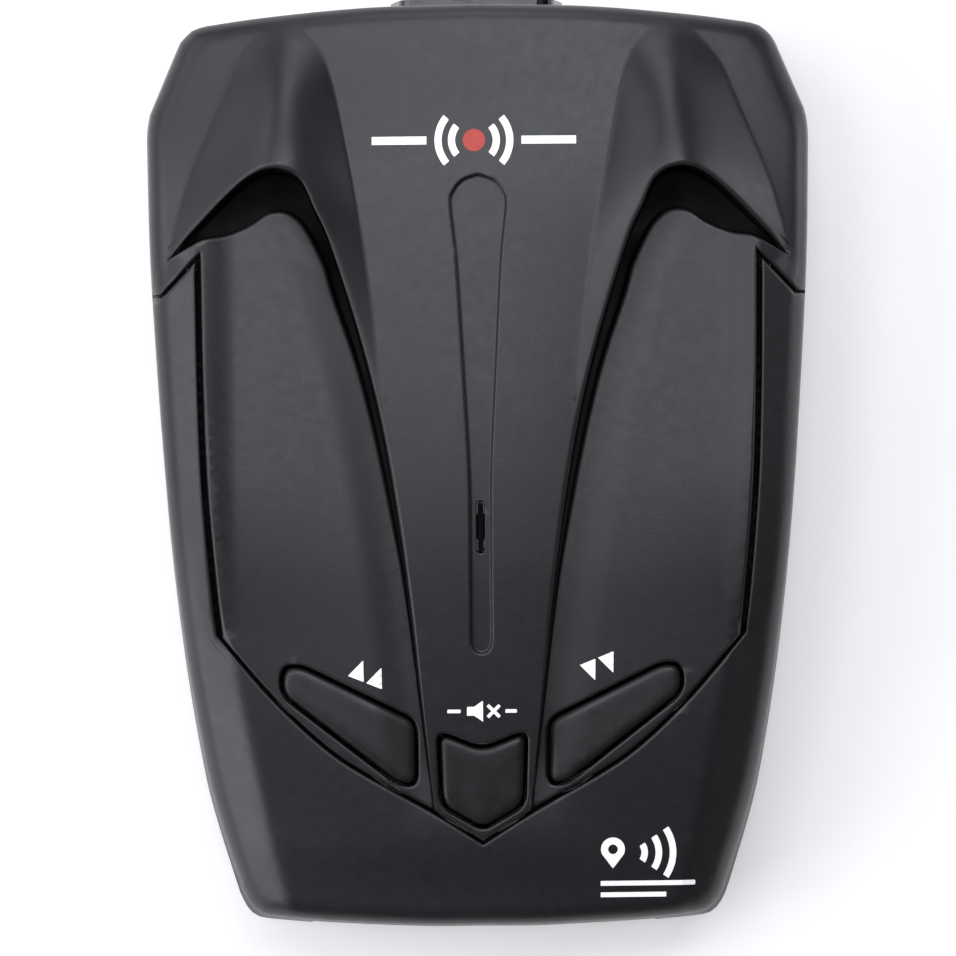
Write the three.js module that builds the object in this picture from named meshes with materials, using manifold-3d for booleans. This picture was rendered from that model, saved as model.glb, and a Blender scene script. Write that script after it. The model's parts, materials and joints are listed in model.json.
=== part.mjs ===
// Dashboard radar detector: two upper shells, a bottom cover, three sprung keys and the electronics.
// Millimetres. +X is the driver's right, +Y points to the road, +Z is up, the feet stand on z = 0.
import * as THREE from 'three';
import { mergeVertices } from 'three/addons/utils/BufferGeometryUtils.js';
import Module from 'manifold-3d';

const wasm = await Module();
wasm.setup();

// ---------- driving dimensions ----------
const HALF_WIDTH = 37.5;
const HALF_LENGTH = 52.25;
const CENTRING = -0.27; // moves the whole part in Y so that its box is centred on the origin
const BASE_Z = 1.0; // underside of the bottom cover; the feet carry it
const FLOOR_TOP = 3.0;
const PARTING_Z = 9.6;
const FIT_GAP = 0.3;
const SHELL_Z = PARTING_Z + FIT_GAP;
const WALL = 2.4;
const ROOF = 3.6; // skin between the side panels and the cavity
const SKY = 60; // above everything
const EDGE_RADIUS = 2.0;
const BOARD_Z = 7.6;
const BOARD_TOP = 9.0;
const CHIP_Z = BOARD_TOP + 0.2;
const KEY_GAP = 0.3;
const KEY_TRAVEL = 0.5;
const KEY_CORNER = 1.5;
const KEY_POST_RADIUS = 1.6;
const FLANGE = 1.0; // how far a key spreads under the shell, so that it can't fall out
const FLANGE_THICKNESS = 1.1;
const SEAM_HALF_GAP = 0.25;
const HOUSING_SCREWS = [[31.5, 34], [-31.5, 34], [23, -44], [-23, -44]];
const BOARD_SCREWS = [[24, 16], [-24, 16], [18.5, -34.5], [-18.5, -34.5]];
const FEET = [[24, 42], [-24, 42], [21, -33], [-21, -33]];
const SPEAKER = [12, -12];

// ---------- helpers ----------
const v2 = (x, y) => new THREE.Vector2(x, y);
const toVectors = (pairs) => pairs.map(([x, y]) => v2(x, y));
const clamp01 = (t) => Math.min(1, Math.max(0, t));
const smooth = (t) => clamp01(t) ** 2 * (3 - 2 * clamp01(t));

function solid(geometry) {
  const bare = geometry.clone();
  bare.deleteAttribute('normal');
  bare.deleteAttribute('uv');
  const merged = mergeVertices(bare, 1e-5);
  return new wasm.Manifold(new wasm.Mesh({
    numProp: 3,
    vertProperties: new Float32Array(merged.attributes.position.array),
    triVerts: new Uint32Array(merged.index.array),
  }));
}

// Smooth value of y through a few [y, value] stations, flat beyond both ends.
function profile(stations) {
  return (y) => {
    const last = stations.length - 1;
    if (y <= stations[0][0]) return stations[0][1];
    if (y >= stations[last][0]) return stations[last][1];
    const i = stations.findIndex(([edge]) => y < edge) - 1;
    const at = (k) => stations[Math.min(last, Math.max(0, k))];
    const slope = (k) => (at(k + 1)[1] - at(k - 1)[1]) / (at(k + 1)[0] - at(k - 1)[0]);
    const span = at(i + 1)[0] - at(i)[0];
    const t = (y - at(i)[0]) / span;
    const a = (1 + 2 * t) * (1 - t) ** 2 * at(i)[1] + t * (1 - t) ** 2 * span * slope(i);
    return a + t * t * (3 - 2 * t) * at(i + 1)[1] + t * t * (t - 1) * span * slope(i + 1);
  };
}

const spline = (pairs, count) => new THREE.SplineCurve(toVectors(pairs)).getPoints(count);

// Polygon with each corner replaced by a curve that starts and ends `radius` away from it.
function rounded(points, radius, steps = 4) {
  const out = [];
  points.forEach((corner, i) => {
    const before = points[(i + points.length - 1) % points.length];
    const after = points[(i + 1) % points.length];
    const reach = (other) => Math.min(radius, corner.distanceTo(other) * 0.49);
    const start = corner.clone().lerp(before, reach(before) / corner.distanceTo(before));
    const end = corner.clone().lerp(after, reach(after) / corner.distanceTo(after));
    out.push(...new THREE.QuadraticBezierCurve(start, corner, end).getPoints(steps));
  });
  return out;
}

// Moves an open or closed path sideways, to its left for a positive distance.
function offsetPath(points, distance, closed) {
  const count = points.length;
  return points.map((point, i) => {
    const before = points[closed ? (i + count - 1) % count : Math.max(0, i - 1)];
    const after = points[closed ? (i + 1) % count : Math.min(count - 1, i + 1)];
    const into = (i > 0 || closed ? point.clone().sub(before) : after.clone().sub(point)).normalize();
    const away = (i < count - 1 || closed ? after.clone().sub(point) : into.clone()).normalize();
    const normal = v2(-into.y - away.y, into.x + away.x).normalize();
    const mitre = Math.max(0.5, normal.dot(v2(-into.y, into.x)));
    return point.clone().addScaledVector(normal, distance / mitre);
  });
}

function prism(points, bottom, top) {
  const settings = { depth: top - bottom, bevelEnabled: false };
  return solid(new THREE.ExtrudeGeometry(new THREE.Shape(points), settings).translate(0, 0, bottom));
}

function box(x0, x1, y0, y1, z0, z1) {
  const geometry = new THREE.BoxGeometry(x1 - x0, y1 - y0, z1 - z0);
  return solid(geometry.translate((x0 + x1) / 2, (y0 + y1) / 2, (z0 + z1) / 2));
}

function cylinder(x, y, radius, z0, z1, sides = 20) {
  const geometry = new THREE.CylinderGeometry(radius, radius, z1 - z0, sides).rotateX(Math.PI / 2);
  return solid(geometry.translate(x, y, (z0 + z1) / 2));
}

// Turned piece about a vertical axis at x, y.
function turned(x, y, pairs, sides = 24) {
  return solid(new THREE.LatheGeometry(toVectors(pairs), sides).rotateX(Math.PI / 2).translate(x, y, 0));
}

// Block whose upper face (or lower face, for carving) follows height(x, y).
function terrain(height, [x0, x1, y0, y1], cell, other) {
  const columns = Math.round((x1 - x0) / cell);
  const rows = Math.round((y1 - y0) / cell);
  const geometry = new THREE.BoxGeometry(x1 - x0, y1 - y0, 2, columns, rows, 1);
  geometry.translate((x0 + x1) / 2, (y0 + y1) / 2, 0);
  const position = geometry.attributes.position;
  const followsTop = other < 0;
  for (let i = 0; i < position.count; i += 1) {
    const follows = position.getZ(i) > 0 === followsTop;
    position.setZ(i, follows ? height(position.getX(i), position.getY(i)) : other);
  }
  return solid(geometry);
}
const below = (height, area, cell) => terrain(height, area, cell, -5);
const above = (height, area, cell) => terrain(height, area, cell, SKY);

// Closed skin over equally long rings of points, from the lowest ring to the highest.
function loft(rings) {
  const count = rings[0].length;
  const points = rings.flat();
  const faces = [];
  for (let r = 0; r + 1 < rings.length; r += 1) {
    for (let i = 0; i < count; i += 1) {
      const [a, b] = [r * count + i, r * count + ((i + 1) % count)];
      faces.push(a, b, b + count, a, b + count, a + count);
    }
  }
  const middle = (ring) => ring.reduce((sum, p) => sum.add(p), new THREE.Vector3()).divideScalar(count);
  const [low, high] = [points.length, points.length + 1];
  const lastRing = (rings.length - 1) * count;
  for (let i = 0; i < count; i += 1) {
    const next = (i + 1) % count;
    faces.push(low, next, i, high, lastRing + i, lastRing + next);
  }
  const geometry = new THREE.BufferGeometry().setFromPoints(
    [...points, middle(rings[0]), middle(rings.at(-1))],
  );
  geometry.setIndex(faces);
  return solid(geometry);
}

const mirrored = (points) => points.map((p) => v2(-p.x, p.y)).reverse();
const mirrorSolid = (shape) => shape.mirror([1, 0, 0]);

// ---------- outline of the case, seen from above ----------
const frontEdge = spline([[0, 52.1], [12.5, 51.8], [23.7, 50.9], [31.0, 50.0]], 6);
const frontCorner = spline([[32.4, 49.5], [33.7, 48.2]], 1);
const sideCurve = [[37.2, 40.0], [37.5, 38.0], [37.5, 34.5], [37.15, 20.75], [35.6, -3.3], [33.8, -20.4]];
const sideEdge = spline([...sideCurve, [31.6, -34.1], [29.9, -41.0], [27.8, -47.6]], 14);
const rearCorner = spline([[27.5, -48.6], [26.6, -50.2], [25.3, -51.1]], 3);
const rearEdge = spline([[22.2, -51.5], [16.4, -51.95], [6.5, -52.4], [0, -52.4]], 4);
const rightHalf = [...frontEdge, ...frontCorner, ...sideEdge, ...rearCorner, ...rearEdge];
const outline = [...rightHalf.slice(0, -1), ...mirrored(rightHalf).slice(0, -1)].reverse();
const inset = (d) => outline.map((p) => v2(p.x * (1 - d / HALF_WIDTH), p.y * (1 - d / HALF_LENGTH)));

// ---------- heights ----------
const panelLine = profile([
  [-53, 16.2], [-42, 18.5], [-30, 20.7], [-20, 21.9], [-10, 22.8], [5, 23.4], [20, 23.6], [33, 23.6],
]);
const spineStep = profile([[-44, 0.4], [-30, 1.0], [-20, 1.8], [0, 3.0], [20, 3.4], [33, 3.1], [53, 0.9]]);
const rearCrown = profile([[-52, 1.8], [-40, 2.2], [-20, 1.1], [0, 0]]);
const roofDrop = profile([[-48, 2.0], [-41, 0]]); // the roof dips towards the rear wall
const hoodRise = profile([[2, 0], [12, 1.9], [24, 3.9], [33, 5.2], [41, 3.6], [50, 0]]);
const hoodInner = profile([[2, 10.3], [13, 11.4], [24, 12.7], [36, 14.8], [46, 17.1], [50, 20.0]]);
const hoodOuter = profile([[23, 34.75], [30, 33.2], [35, 31.3], [40, 29.2], [45, 27.1], [50, 24.0]]);
const halfWidthAt = profile([[-52, 27.6], [-41, 29.9], [-20, 33.8], [-3, 35.6], [20, 37.1], [36, 37.5]]);
const lipAt = profile([[-39, 5.4], [-20, 7.4], [-4, 9.4], [10, 12.1], [22, 15.6], [30, 18.8]]);

// Cross-section of a hood: 0 at both feet, 1 at its crest, with nearly straight flanks.
const CREST_ROUNDNESS = 0.35;
const CREST_SHIFT = 0.92;
function hoodShape(share) {
  const aside = Math.abs(2 * share ** CREST_SHIFT - 1);
  const foot = Math.hypot(1, CREST_ROUNDNESS);
  return (foot - Math.hypot(aside, CREST_ROUNDNESS)) / (foot - CREST_ROUNDNESS);
}

// Front, spine and hoods.
function upperHeight(x, y) {
  const u = Math.abs(x);
  const share = clamp01((u - hoodInner(y)) / (hoodOuter(y) - hoodInner(y)));
  const spine = panelLine(y) + spineStep(y) - 0.0036 * u * u;
  return spine + hoodRise(y) * hoodShape(share);
}

// Side panels and rear frame.
function lowerHeight(x, y) {
  const u = Math.abs(x);
  const rim = 0.9 * smooth((u - 27.2) / 4) * smooth((y + 22) / 8);
  const trough = 0.7 * (1 - smooth((u - lipAt(y) - 0.8) / 5)) * smooth((y + 42) / 10);
  const fall = 0.42 * Math.max(0, u - halfWidthAt(y) + 5.8);
  return panelLine(y) + rim - trough - fall - rearCrown(y) * (u / 30) ** 2;
}

const ceilingAt = (y) => panelLine(y) - ROOF - roofDrop(y);
const surfaceAt = (x, y) => (y > 21 ? upperHeight(x, y) : lowerHeight(x, y));

// ---------- blank of the upper shells: vertical sides, rounded upper edge ----------
const ringOf = (d, heightOf) => inset(d).map((p) => new THREE.Vector3(p.x, p.y, heightOf(p)));
const edgeHeight = (p) => surfaceAt(p.x, p.y);
function edgeRing(angle) {
  const d = 0.5 + EDGE_RADIUS * (1 - Math.cos(angle));
  return ringOf(d, (p) => edgeHeight(p) - EDGE_RADIUS * (1 - Math.sin(angle)));
}
const upperBlank = loft([
  ringOf(0, () => SHELL_Z),
  ...[0, 0.4, 0.8, 1.2].map(edgeRing),
  ringOf(6, (p) => edgeHeight(p) + 3.5),
  ringOf(12, (p) => edgeHeight(p) + 11),
  ringOf(20, () => 40),
]);
const ROOF_STATIONS = [-53, -48, -45, -41, -30, -20, -8, 6, 20, 33];
const profileOfRoof = [v2(-60, -5), ...ROOF_STATIONS.map((y) => v2(y, ceilingAt(y)))];
profileOfRoof.push(v2(60, ceilingAt(33)), v2(60, -5));
const underRoof = solid(new THREE.ExtrudeGeometry(new THREE.Shape(profileOfRoof), {
  depth: 90,
  bevelEnabled: false,
}).rotateX(Math.PI / 2).rotateZ(Math.PI / 2).translate(-45, 0, 0));
const cavity = prism(inset(WALL), FLOOR_TOP, SKY).intersect(underRoof);

// ---------- seam between top cover and rear frame ----------
const seamCorner = [[60, 19.15], [35.5, 19.15], [31.4, 23.4]];
const seamSide = [[31.2, 8.1], [30.8, -3.0], [29.9, -14.0], [29.35, -19.15]];
const seamVee = [[23.3, -26.2], [17.5, -31.7], [12.8, -34.9], [5.5, -39.0], [0, -42.5]];
const seamRight = toVectors([...seamCorner, ...seamSide, ...seamVee]);
const seam = [...seamRight, ...mirrored(seamRight).slice(1)];
const seamCover = offsetPath(seam, -SEAM_HALF_GAP, false);
const seamFrame = offsetPath(seam, SEAM_HALF_GAP, false);
const coverArea = prism([...seamCover, v2(-60, 60), v2(60, 60)].reverse(), -5, SKY);
const frameArea = prism([...seamFrame, v2(-60, -60), v2(60, -60)], -5, SKY);
const innerSeam = seam.slice(2, -2);
const ledgePath = [...offsetPath(innerSeam, 1.8, false), ...offsetPath(innerSeam, -2.4, false).reverse()];
const ledgeReach = prism(ledgePath, -5, SKY);
const roomPath = [...offsetPath(innerSeam, 2.1, false), ...offsetPath(innerSeam, -1, false).reverse()];
const ledgeRoom = prism(roomPath, -5, SKY);

// ---------- scoops ----------
const lipArch = [[34.75, 23.3], [28.2, 30.0], [24.8, 32.6], [22.2, 33.1], [19.8, 31.9], [18.2, 28.6]];
const lipRun = [
  [16.5, 24.7], [13.4, 14.7], [11.15, 5.5], [9.4, -4.5],
  [8.0, -15.0], [6.7, -27.0], [5.4, -38.8],
];
const lip = spline([...lipArch, ...lipRun], 30);
const panelArch = [[34.7, 23.15], [31.0, 25.3], [28.2, 25.9], [24.3, 27.7], [22.2, 28.5], [20.2, 27.9]];
const panelRun = [[18.6, 25.5], [16.3, 20.4], [13.7, 12.3], [12.0, 5.0], [9.95, -4.5], [8.0, -15.0]];
const panelEdge = spline([...panelArch, ...panelRun], 24);
const lowerSide = [...lip, v2(4.9, -43.5), v2(0, -47), v2(0, -60), v2(60, -60), v2(60, 23.3)];
const lowArea = [2, 40, -46, 36];
const grooveDepth = profile([[-15, 0.2], [0, 0.8], [14, 1.2], [26, 2.2]]);
const grooveHeight = (x, y) => lowerHeight(x, y) - grooveDepth(y);
const lowerCut = prism([...lowerSide].reverse(), -4, SKY - 1).intersect(above(lowerHeight, lowArea, 3.6));
const lipUntilEnd = lip.filter((p) => p.y > -15);
const groovePrism = prism([...lipUntilEnd, ...panelEdge.reverse()].reverse(), -4, SKY - 1);
const grooveCut = groovePrism.intersect(above(grooveHeight, [5, 40, -20, 36], 4));

// ---------- spine details ----------
const tearSide = spline([[3.1, 29.3], [2.53, 23], [1.24, -1], [1.23, -20.0]], 8);
const tearTop = spline([[0, 32.4], [2.2, 31.4], [3.1, 29.6]], 5);
const tearFoot = spline([[0.9, -20.9], [0, -21.2]], 2);
const tearRight = [...tearTop.slice(0, -1), ...tearSide, ...tearFoot];
const teardrop = [...tearRight, ...mirrored(tearRight).slice(1, -1)].reverse();
const SLOT_Y = [-9.9, -4.1];
const slotOutline = (half) => rounded(toVectors([
  [-half, SLOT_Y[0] + 0.46 - half], [half, SLOT_Y[0] + 0.46 - half],
  [half, SLOT_Y[1] - 0.46 + half], [-half, SLOT_Y[1] - 0.46 + half],
]), half, 3);

// ---------- key outlines ----------
const sideKey = toVectors([
  [7.4, -35.9], [9.4, -35.9], [22.6, -25.6],
  [22.4, -22.6], [20.4, -22.3], [7.4, -28.7],
]);
const muteKey = toVectors([
  [0, -41.0], [4.7, -38.3], [4.95, -30.3], [3.9, -30.3],
  [0, -31.9], [-3.9, -30.3], [-4.95, -30.3], [-4.7, -38.3],
]);
const KEYS = {
  up: { outline: mirrored(sideKey), at: [-14.5, -29.5], height: lowerHeight },
  mute: { outline: muteKey, at: [0, -36], height: upperHeight },
  down: { outline: sideKey, at: [14.5, -29.5], height: lowerHeight },
};
const keyShape = (key, grow) => rounded(offsetPath(key.outline, -grow, true), KEY_CORNER + grow);

// ---------- upper shells ----------
const upperArea = [-39, 39, -46, 54];
let cover = upperBlank.intersect(below(upperHeight, upperArea, 3.2)).intersect(coverArea);
cover = cover.subtract(lowerCut).subtract(mirrorSolid(lowerCut));
cover = cover.subtract(grooveCut).subtract(mirrorSolid(grooveCut)).subtract(cavity);
const recessFloor = above((x, y) => upperHeight(x, y) - 0.4, [-5, 5, -24, 36], 2.5);
cover = cover.subtract(prism(teardrop, 0, SKY - 1).intersect(recessFloor));
const ledgeArea = [-34, 34, -46, 26];
const ledge = ledgeReach
  .intersect(below((x, y) => lowerHeight(x, y) - 2.0, ledgeArea, 6))
  .subtract(below((x, y) => lowerHeight(x, y) - 3.4, ledgeArea, 6));
cover = cover.add(ledge);
cover = cover.subtract(prism(slotOutline(0.46), 0, SKY));
for (const key of Object.values(KEYS)) {
  cover = cover.subtract(prism(keyShape(key, KEY_GAP), SHELL_Z, SKY));
}
const underFrameSkin = below(lowerHeight, [-39, 39, -54, 26], 3.4);
let frame = upperBlank.intersect(underFrameSkin).intersect(frameArea).subtract(cavity);
frame = frame.subtract(ledgeRoom.intersect(below((x, y) => lowerHeight(x, y) - 1.7, ledgeArea, 6)));

// ---------- bottom cover ----------
const flatRing = (d, z) => ringOf(d, () => z);
const bottomBlank = loft([
  flatRing(3.4, BASE_Z), flatRing(2.2, BASE_Z + 0.3), flatRing(1.3, BASE_Z + 1.3),
  flatRing(0.7, BASE_Z + 3.2), flatRing(0, PARTING_Z),
]);
let bottom = bottomBlank.subtract(prism(inset(WALL), FLOOR_TOP, SKY));

const BOSS_RADIUS = 2.8;
HOUSING_SCREWS.forEach(([x, y], i) => {
  const pilotHole = cylinder(x, y, 1.35, 0, 10.5, 12);
  const boss = cylinder(x, y, BOSS_RADIUS, 4.8, ceilingAt(y) + 0.6, 16).subtract(pilotHole);
  if (i < 2) cover = cover.add(boss);
  else frame = frame.add(boss);
  bottom = bottom.add(cylinder(x, y, 4, FLOOR_TOP - 1, 4.5, 16));
  bottom = bottom.subtract(cylinder(x, y, 2.7, 0, 2.85, 16)).subtract(cylinder(x, y, 1.5, 0, 6, 12));
});
BOARD_SCREWS.forEach(([x, y]) => {
  const post = cylinder(x, y, 2.2, FLOOR_TOP - 1, BOARD_Z - FIT_GAP, 12);
  bottom = bottom.add(post.subtract(cylinder(x, y, 1.0, FLOOR_TOP + 0.5, 9, 8)));
});
const GPS_POSTS = [[12.5, 28], [25, 40]];
GPS_POSTS.forEach(([x, y]) => {
  bottom = bottom.add(cylinder(x, y, 1.5, FLOOR_TOP - 1, CHIP_Z - FIT_GAP, 12));
});
FEET.forEach(([x, y]) => {
  bottom = bottom.subtract(cylinder(x, y, 4.8, 0, BASE_Z + 0.6, 20));
});
const GRILLE_PITCH = 3.0;
for (let i = -3; i <= 3; i += 1) {
  const half = Math.sqrt(10.2 ** 2 - (i * GRILLE_PITCH) ** 2);
  const x = SPEAKER[0] + i * GRILLE_PITCH;
  bottom = bottom.subtract(box(x - 0.7, x + 0.7, SPEAKER[1] - half, SPEAKER[1] + half, 0, 5));
}
const LABEL = [-18, 18, 8, 30];
bottom = bottom.subtract(box(LABEL[0], LABEL[1], LABEL[2], LABEL[3], 0, BASE_Z + 0.4));

// ---------- openings in the walls ----------
const DISPLAY_HALF = 19.5;
const displayCut = box(-DISPLAY_HALF, DISPLAY_HALF, -60, -47.5, 3.7, 11.5);
const LENS_Z = [8.6, 16.6];
const lensShape = (grow) => {
  const [half, low, high] = [10 + grow, LENS_Z[0] - grow, LENS_Z[1] + grow];
  const corners = toVectors([[-half, low], [half, low], [half - 1.6, high], [-half + 1.6, high]]);
  return rounded(corners, 1.6, 4);
};
// Upright plate in the X-Z plane, between two values of y.
function upright(points, y0, y1) {
  const outline = new THREE.Shape(points);
  const geometry = new THREE.ExtrudeGeometry(outline, { depth: y1 - y0, bevelEnabled: false });
  return solid(geometry.rotateX(Math.PI / 2).translate(0, y1, 0));
}
const lensCut = upright(lensShape(FIT_GAP), 45, 60);
const JACK = { y: 0, z: 12.1, radius: 2.1 };
function sideways(y, z, radius, x0, x1, sides = 20) {
  const geometry = new THREE.CylinderGeometry(radius, radius, x1 - x0, sides).rotateZ(Math.PI / 2);
  return solid(geometry.translate((x0 + x1) / 2, y, z));
}
const jackCut = sideways(JACK.y, JACK.z, JACK.radius, 30, 50);
const USB = { y0: -4, y1: 4, z0: CHIP_Z, z1: CHIP_Z + 2.8 };
const usbCut = box(-50, -30, USB.y0 - FIT_GAP, USB.y1 + FIT_GAP, USB.z0 - FIT_GAP, USB.z1 + FIT_GAP);
cover = cover.subtract(lensCut);
frame = frame.subtract(displayCut).subtract(jackCut).subtract(usbCut);
bottom = bottom.subtract(displayCut).subtract(lensCut).subtract(usbCut);

// ---------- windows ----------
const displayBand = prism(inset(1.1), 0, 20).subtract(prism(inset(2.3), -1, 21));
const displayFace = box(-19.2, 19.2, -60, -47.5, 4.0, 11.2);
const displayWindow = displayBand.intersect(displayFace);
const NOSE_Y = 52.7;
const noseCurve = (x) => NOSE_Y - 0.0032 * x * x;
const noseOutline = [-12, -8, -4, 0, 4, 8, 12].map((x) => v2(x, noseCurve(x)));
noseOutline.push(v2(12, 48.6), v2(-12, 48.6));
const laserLens = upright(lensShape(0), 40, 60).intersect(prism(noseOutline.reverse(), 0, 30));
const sensorTop = (x, y) => upperHeight(x, y) - 0.7;
const sensorWindow = prism(slotOutline(0.31), 12, SKY - 2).intersect(below(sensorTop, [-3, 3, -12, 0], 3));

// ---------- keys and their switches ----------
const STEM_TOP = 12.3;
const SWITCH_TOP = 11.3;
const keySolids = {};
for (const [name, key] of Object.entries(KEYS)) {
  const rear = Math.min(...key.outline.map((p) => p.y));
  const flangeTop = ceilingAt(rear - 1) - FIT_GAP;
  const crown = (u, v) => key.height(u, v) - 0.05;
  const area = name === 'mute' ? [-8, 8, -44, -28] : [key.at[0] - 12, key.at[0] + 12, -40, -20];
  const flangeBase = flangeTop - FLANGE_THICKNESS;
  const cap = prism(keyShape(key, 0), flangeBase, SKY - 2).intersect(below(crown, area, 2.5));
  const flange = prism(keyShape(key, FLANGE), flangeBase, flangeTop);
  const [x, y] = key.at;
  const post = cylinder(x, y, KEY_POST_RADIUS, STEM_TOP + 0.15, flangeTop - 0.5, 16);
  keySolids[name] = cap.add(flange).add(post);
}

function switchBase([x, y]) {
  const body = box(x - 3, x + 3, y - 3, y + 3, CHIP_Z, SWITCH_TOP);
  return body.subtract(cylinder(x, y, 1.9, CHIP_Z + 0.5, 20, 16));
}
function switchStem([x, y]) {
  return cylinder(x, y, KEY_POST_RADIUS, CHIP_Z + 0.5 + KEY_TRAVEL + 0.1, STEM_TOP, 16);
}

// ---------- boards ----------
const boardHalf = toVectors([[0, -40.5], [19, -40.5], [27.5, -14], [27.5, 20], [0, 20]]);
const boardOutline = [...boardHalf, ...mirrored(boardHalf).slice(1, -1)];
let board = prism(boardOutline, BOARD_Z, BOARD_TOP);
BOARD_SCREWS.forEach(([x, y]) => {
  board = board.subtract(cylinder(x, y, 1.2, 0, 20, 12));
});
let gpsBoard = box(9.6, 27.6, 25.2, 43.2, CHIP_Z, CHIP_Z + 1);
gpsBoard = gpsBoard.subtract(cylinder(11, 41.8, 0.6, 0, 20, 12));
const laserBoard = box(-7, 7, 41.0, 42.0, 6, 18);
const laserReceiver = solid(new THREE.LatheGeometry(toVectors([
  [0, 42.3], [2.5, 42.3], [2.5, 45.2], [2.2, 46.3], [1.3, 47.2], [0, 47.6],
]), 20)).translate([0, 0, 12.6]);
const displayModule = box(-18, 18, -48.9, -46.9, 4.0, 10.6);
const displayBoard = box(-19, 19, -46.6, -45.6, 3.8, 11.0);
const displayConnector = box(-6, 6, -45.3, -41.0, 6.6, 9.0);

// ---------- horn aerial: a flared mouth facing the road, fed by a short waveguide ----------
const HORN_X = -18;
const HORN_Z = 9.6;
function rectangle(y, halfWidth, halfHeight) {
  const corners = [
    [-halfWidth, -halfHeight], [-halfWidth, halfHeight],
    [halfWidth, halfHeight], [halfWidth, -halfHeight],
  ];
  return corners.map(([x, z]) => new THREE.Vector3(HORN_X + x, y, HORN_Z + z));
}
const hornOuter = loft([rectangle(23, 5, 3.2), rectangle(30, 5, 3.2), rectangle(46, 8.4, 6.0)]);
const hornInner = loft([rectangle(24, 4, 2.2), rectangle(30, 4, 2.2), rectangle(46.5, 7.5, 5.1)]);
const horn = hornOuter.subtract(hornInner);
const shieldHollow = box(-25.5, -8.5, 2.5, 13.1, 0, CHIP_Z + 3.5);
const shieldCan = box(-26, -8, 2, 13.6, CHIP_Z, CHIP_Z + 4).subtract(shieldHollow);

// ---------- sockets ----------
const jackBody = box(24, 32.8, JACK.y - 3.5, JACK.y + 3.5, CHIP_Z, CHIP_Z + 5.8)
  .subtract(sideways(JACK.y, JACK.z, 1.75, 25.5, 40));
const jackPin = sideways(JACK.y, JACK.z, 0.65, 25.7, 32.4, 12);
const usbBody = box(-33.6, -27.6, USB.y0, USB.y1, USB.z0, USB.z1)
  .subtract(box(-40, -28.6, USB.y0 + 0.5, USB.y1 - 0.5, USB.z0 + 0.5, USB.z1 - 0.5));

// ---------- speaker, facing down ----------
const speakerFrame = turned(SPEAKER[0], SPEAKER[1], [
  [10.9, 3.3], [12, 3.3], [12, 4.5], [7.0, 5.6], [4.5, 5.6],
  [4.5, 5.2], [6.8, 5.1], [10.9, 4.1], [10.9, 3.3],
]);
const coneProfile = [[0, 4.3], [3.2, 4.6], [10.5, 3.4], [10.5, 3.8], [3.2, 5.0], [0, 4.7]];
const speakerCone = turned(SPEAKER[0], SPEAKER[1], coneProfile);
const magnetProfile = [[0, 5.9], [6.2, 5.9], [6.5, 6.1], [6.5, 7.1], [6.3, 7.3], [0, 7.3]];
const speakerMagnet = turned(SPEAKER[0], SPEAKER[1], magnetProfile);

// ---------- materials ----------
function look(color, roughness, metalness) {
  return new THREE.MeshStandardMaterial({ color, roughness, metalness });
}
const shellLook = () => look('#2b2c2e', 0.62, 0);
const keyLook = () => look('#242527', 0.55, 0);
const boardLook = () => look('#14452f', 0.5, 0.05);
const darkChip = () => look('#151517', 0.45, 0);
const steel = () => look('#9a9da1', 0.35, 1);
const rubber = () => look('#19191a', 0.9, 0);

const detector = new THREE.Group();
detector.name = 'radar_detector';
function place(name, shape, material) {
  const { vertProperties, triVerts } = shape.getMesh();
  const geometry = new THREE.BufferGeometry();
  geometry.setAttribute('position', new THREE.Float32BufferAttribute(vertProperties, 3));
  geometry.setIndex([...triVerts]);
  geometry.translate(0, CENTRING, 0);
  geometry.computeVertexNormals();
  const mesh = new THREE.Mesh(geometry, material);
  mesh.name = name;
  detector.add(mesh);
}

place('top_cover', cover, shellLook());
place('rear_frame', frame, shellLook());
place('bottom_cover', bottom, shellLook());
place('display_window', displayWindow, look('#0c0c0e', 0.1, 0));
place('laser_lens', laserLens, look('#120a0c', 0.1, 0));
place('light_sensor_window', sensorWindow, look('#060607', 0.15, 0));
for (const [name, key] of Object.entries(KEYS)) {
  place(`${name}_key`, keySolids[name], keyLook());
  place(`${name}_switch_base`, switchBase(key.at), steel());
  place(`${name}_switch_stem`, switchStem(key.at), darkChip());
}
place('main_board', board, boardLook());
place('processor_chip', box(-19, -7, -16, -4, CHIP_Z, CHIP_Z + 1.4), darkChip());
place('memory_chip', box(5, 12, -18, -12, CHIP_Z, CHIP_Z + 1.2), darkChip());
place('light_sensor_chip', box(-1.6, 1.6, -8.4, -5.6, CHIP_Z, CHIP_Z + 1.1), darkChip());
[[8, 12], [15.5, 12], [8, 3.5], [15.5, 3.5]].forEach(([x, y], i) => {
  const can = [[0, CHIP_Z], [2.6, CHIP_Z], [2.6, 13.8], [2.3, 14.2], [0, 14.2]];
  place(`capacitor_${i + 1}`, turned(x, y, can, 12), look('#b9bcc0', 0.3, 1));
});
place('rf_shield', shieldCan, steel());
place('rf_horn', horn, look('#8f9194', 0.5, 1));
place('gps_board', gpsBoard, boardLook());
place('gps_antenna', box(10.2, 27, 25.8, 42.6, CHIP_Z + 1.3, CHIP_Z + 5), look('#b7a98a', 0.6, 0));
place('gps_pad', box(13, 24.2, 28.6, 39.8, CHIP_Z + 5.2, CHIP_Z + 5.5), look('#c9c6bb', 0.3, 1));
place('laser_board', laserBoard, boardLook());
place('laser_receiver', laserReceiver, look('#1a1014', 0.2, 0));
place('display_board', displayBoard, boardLook());
place('display_module', displayModule, look('#0a0a0b', 0.2, 0));
place('display_connector', displayConnector, look('#d8d2c2', 0.6, 0));
place('speaker_frame', speakerFrame, steel());
place('speaker_cone', speakerCone, look('#1c1b1a', 0.85, 0));
place('speaker_magnet', speakerMagnet, look('#4a4b4d', 0.5, 1));
place('power_jack', jackBody, darkChip());
place('power_jack_pin', jackPin, steel());
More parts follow.
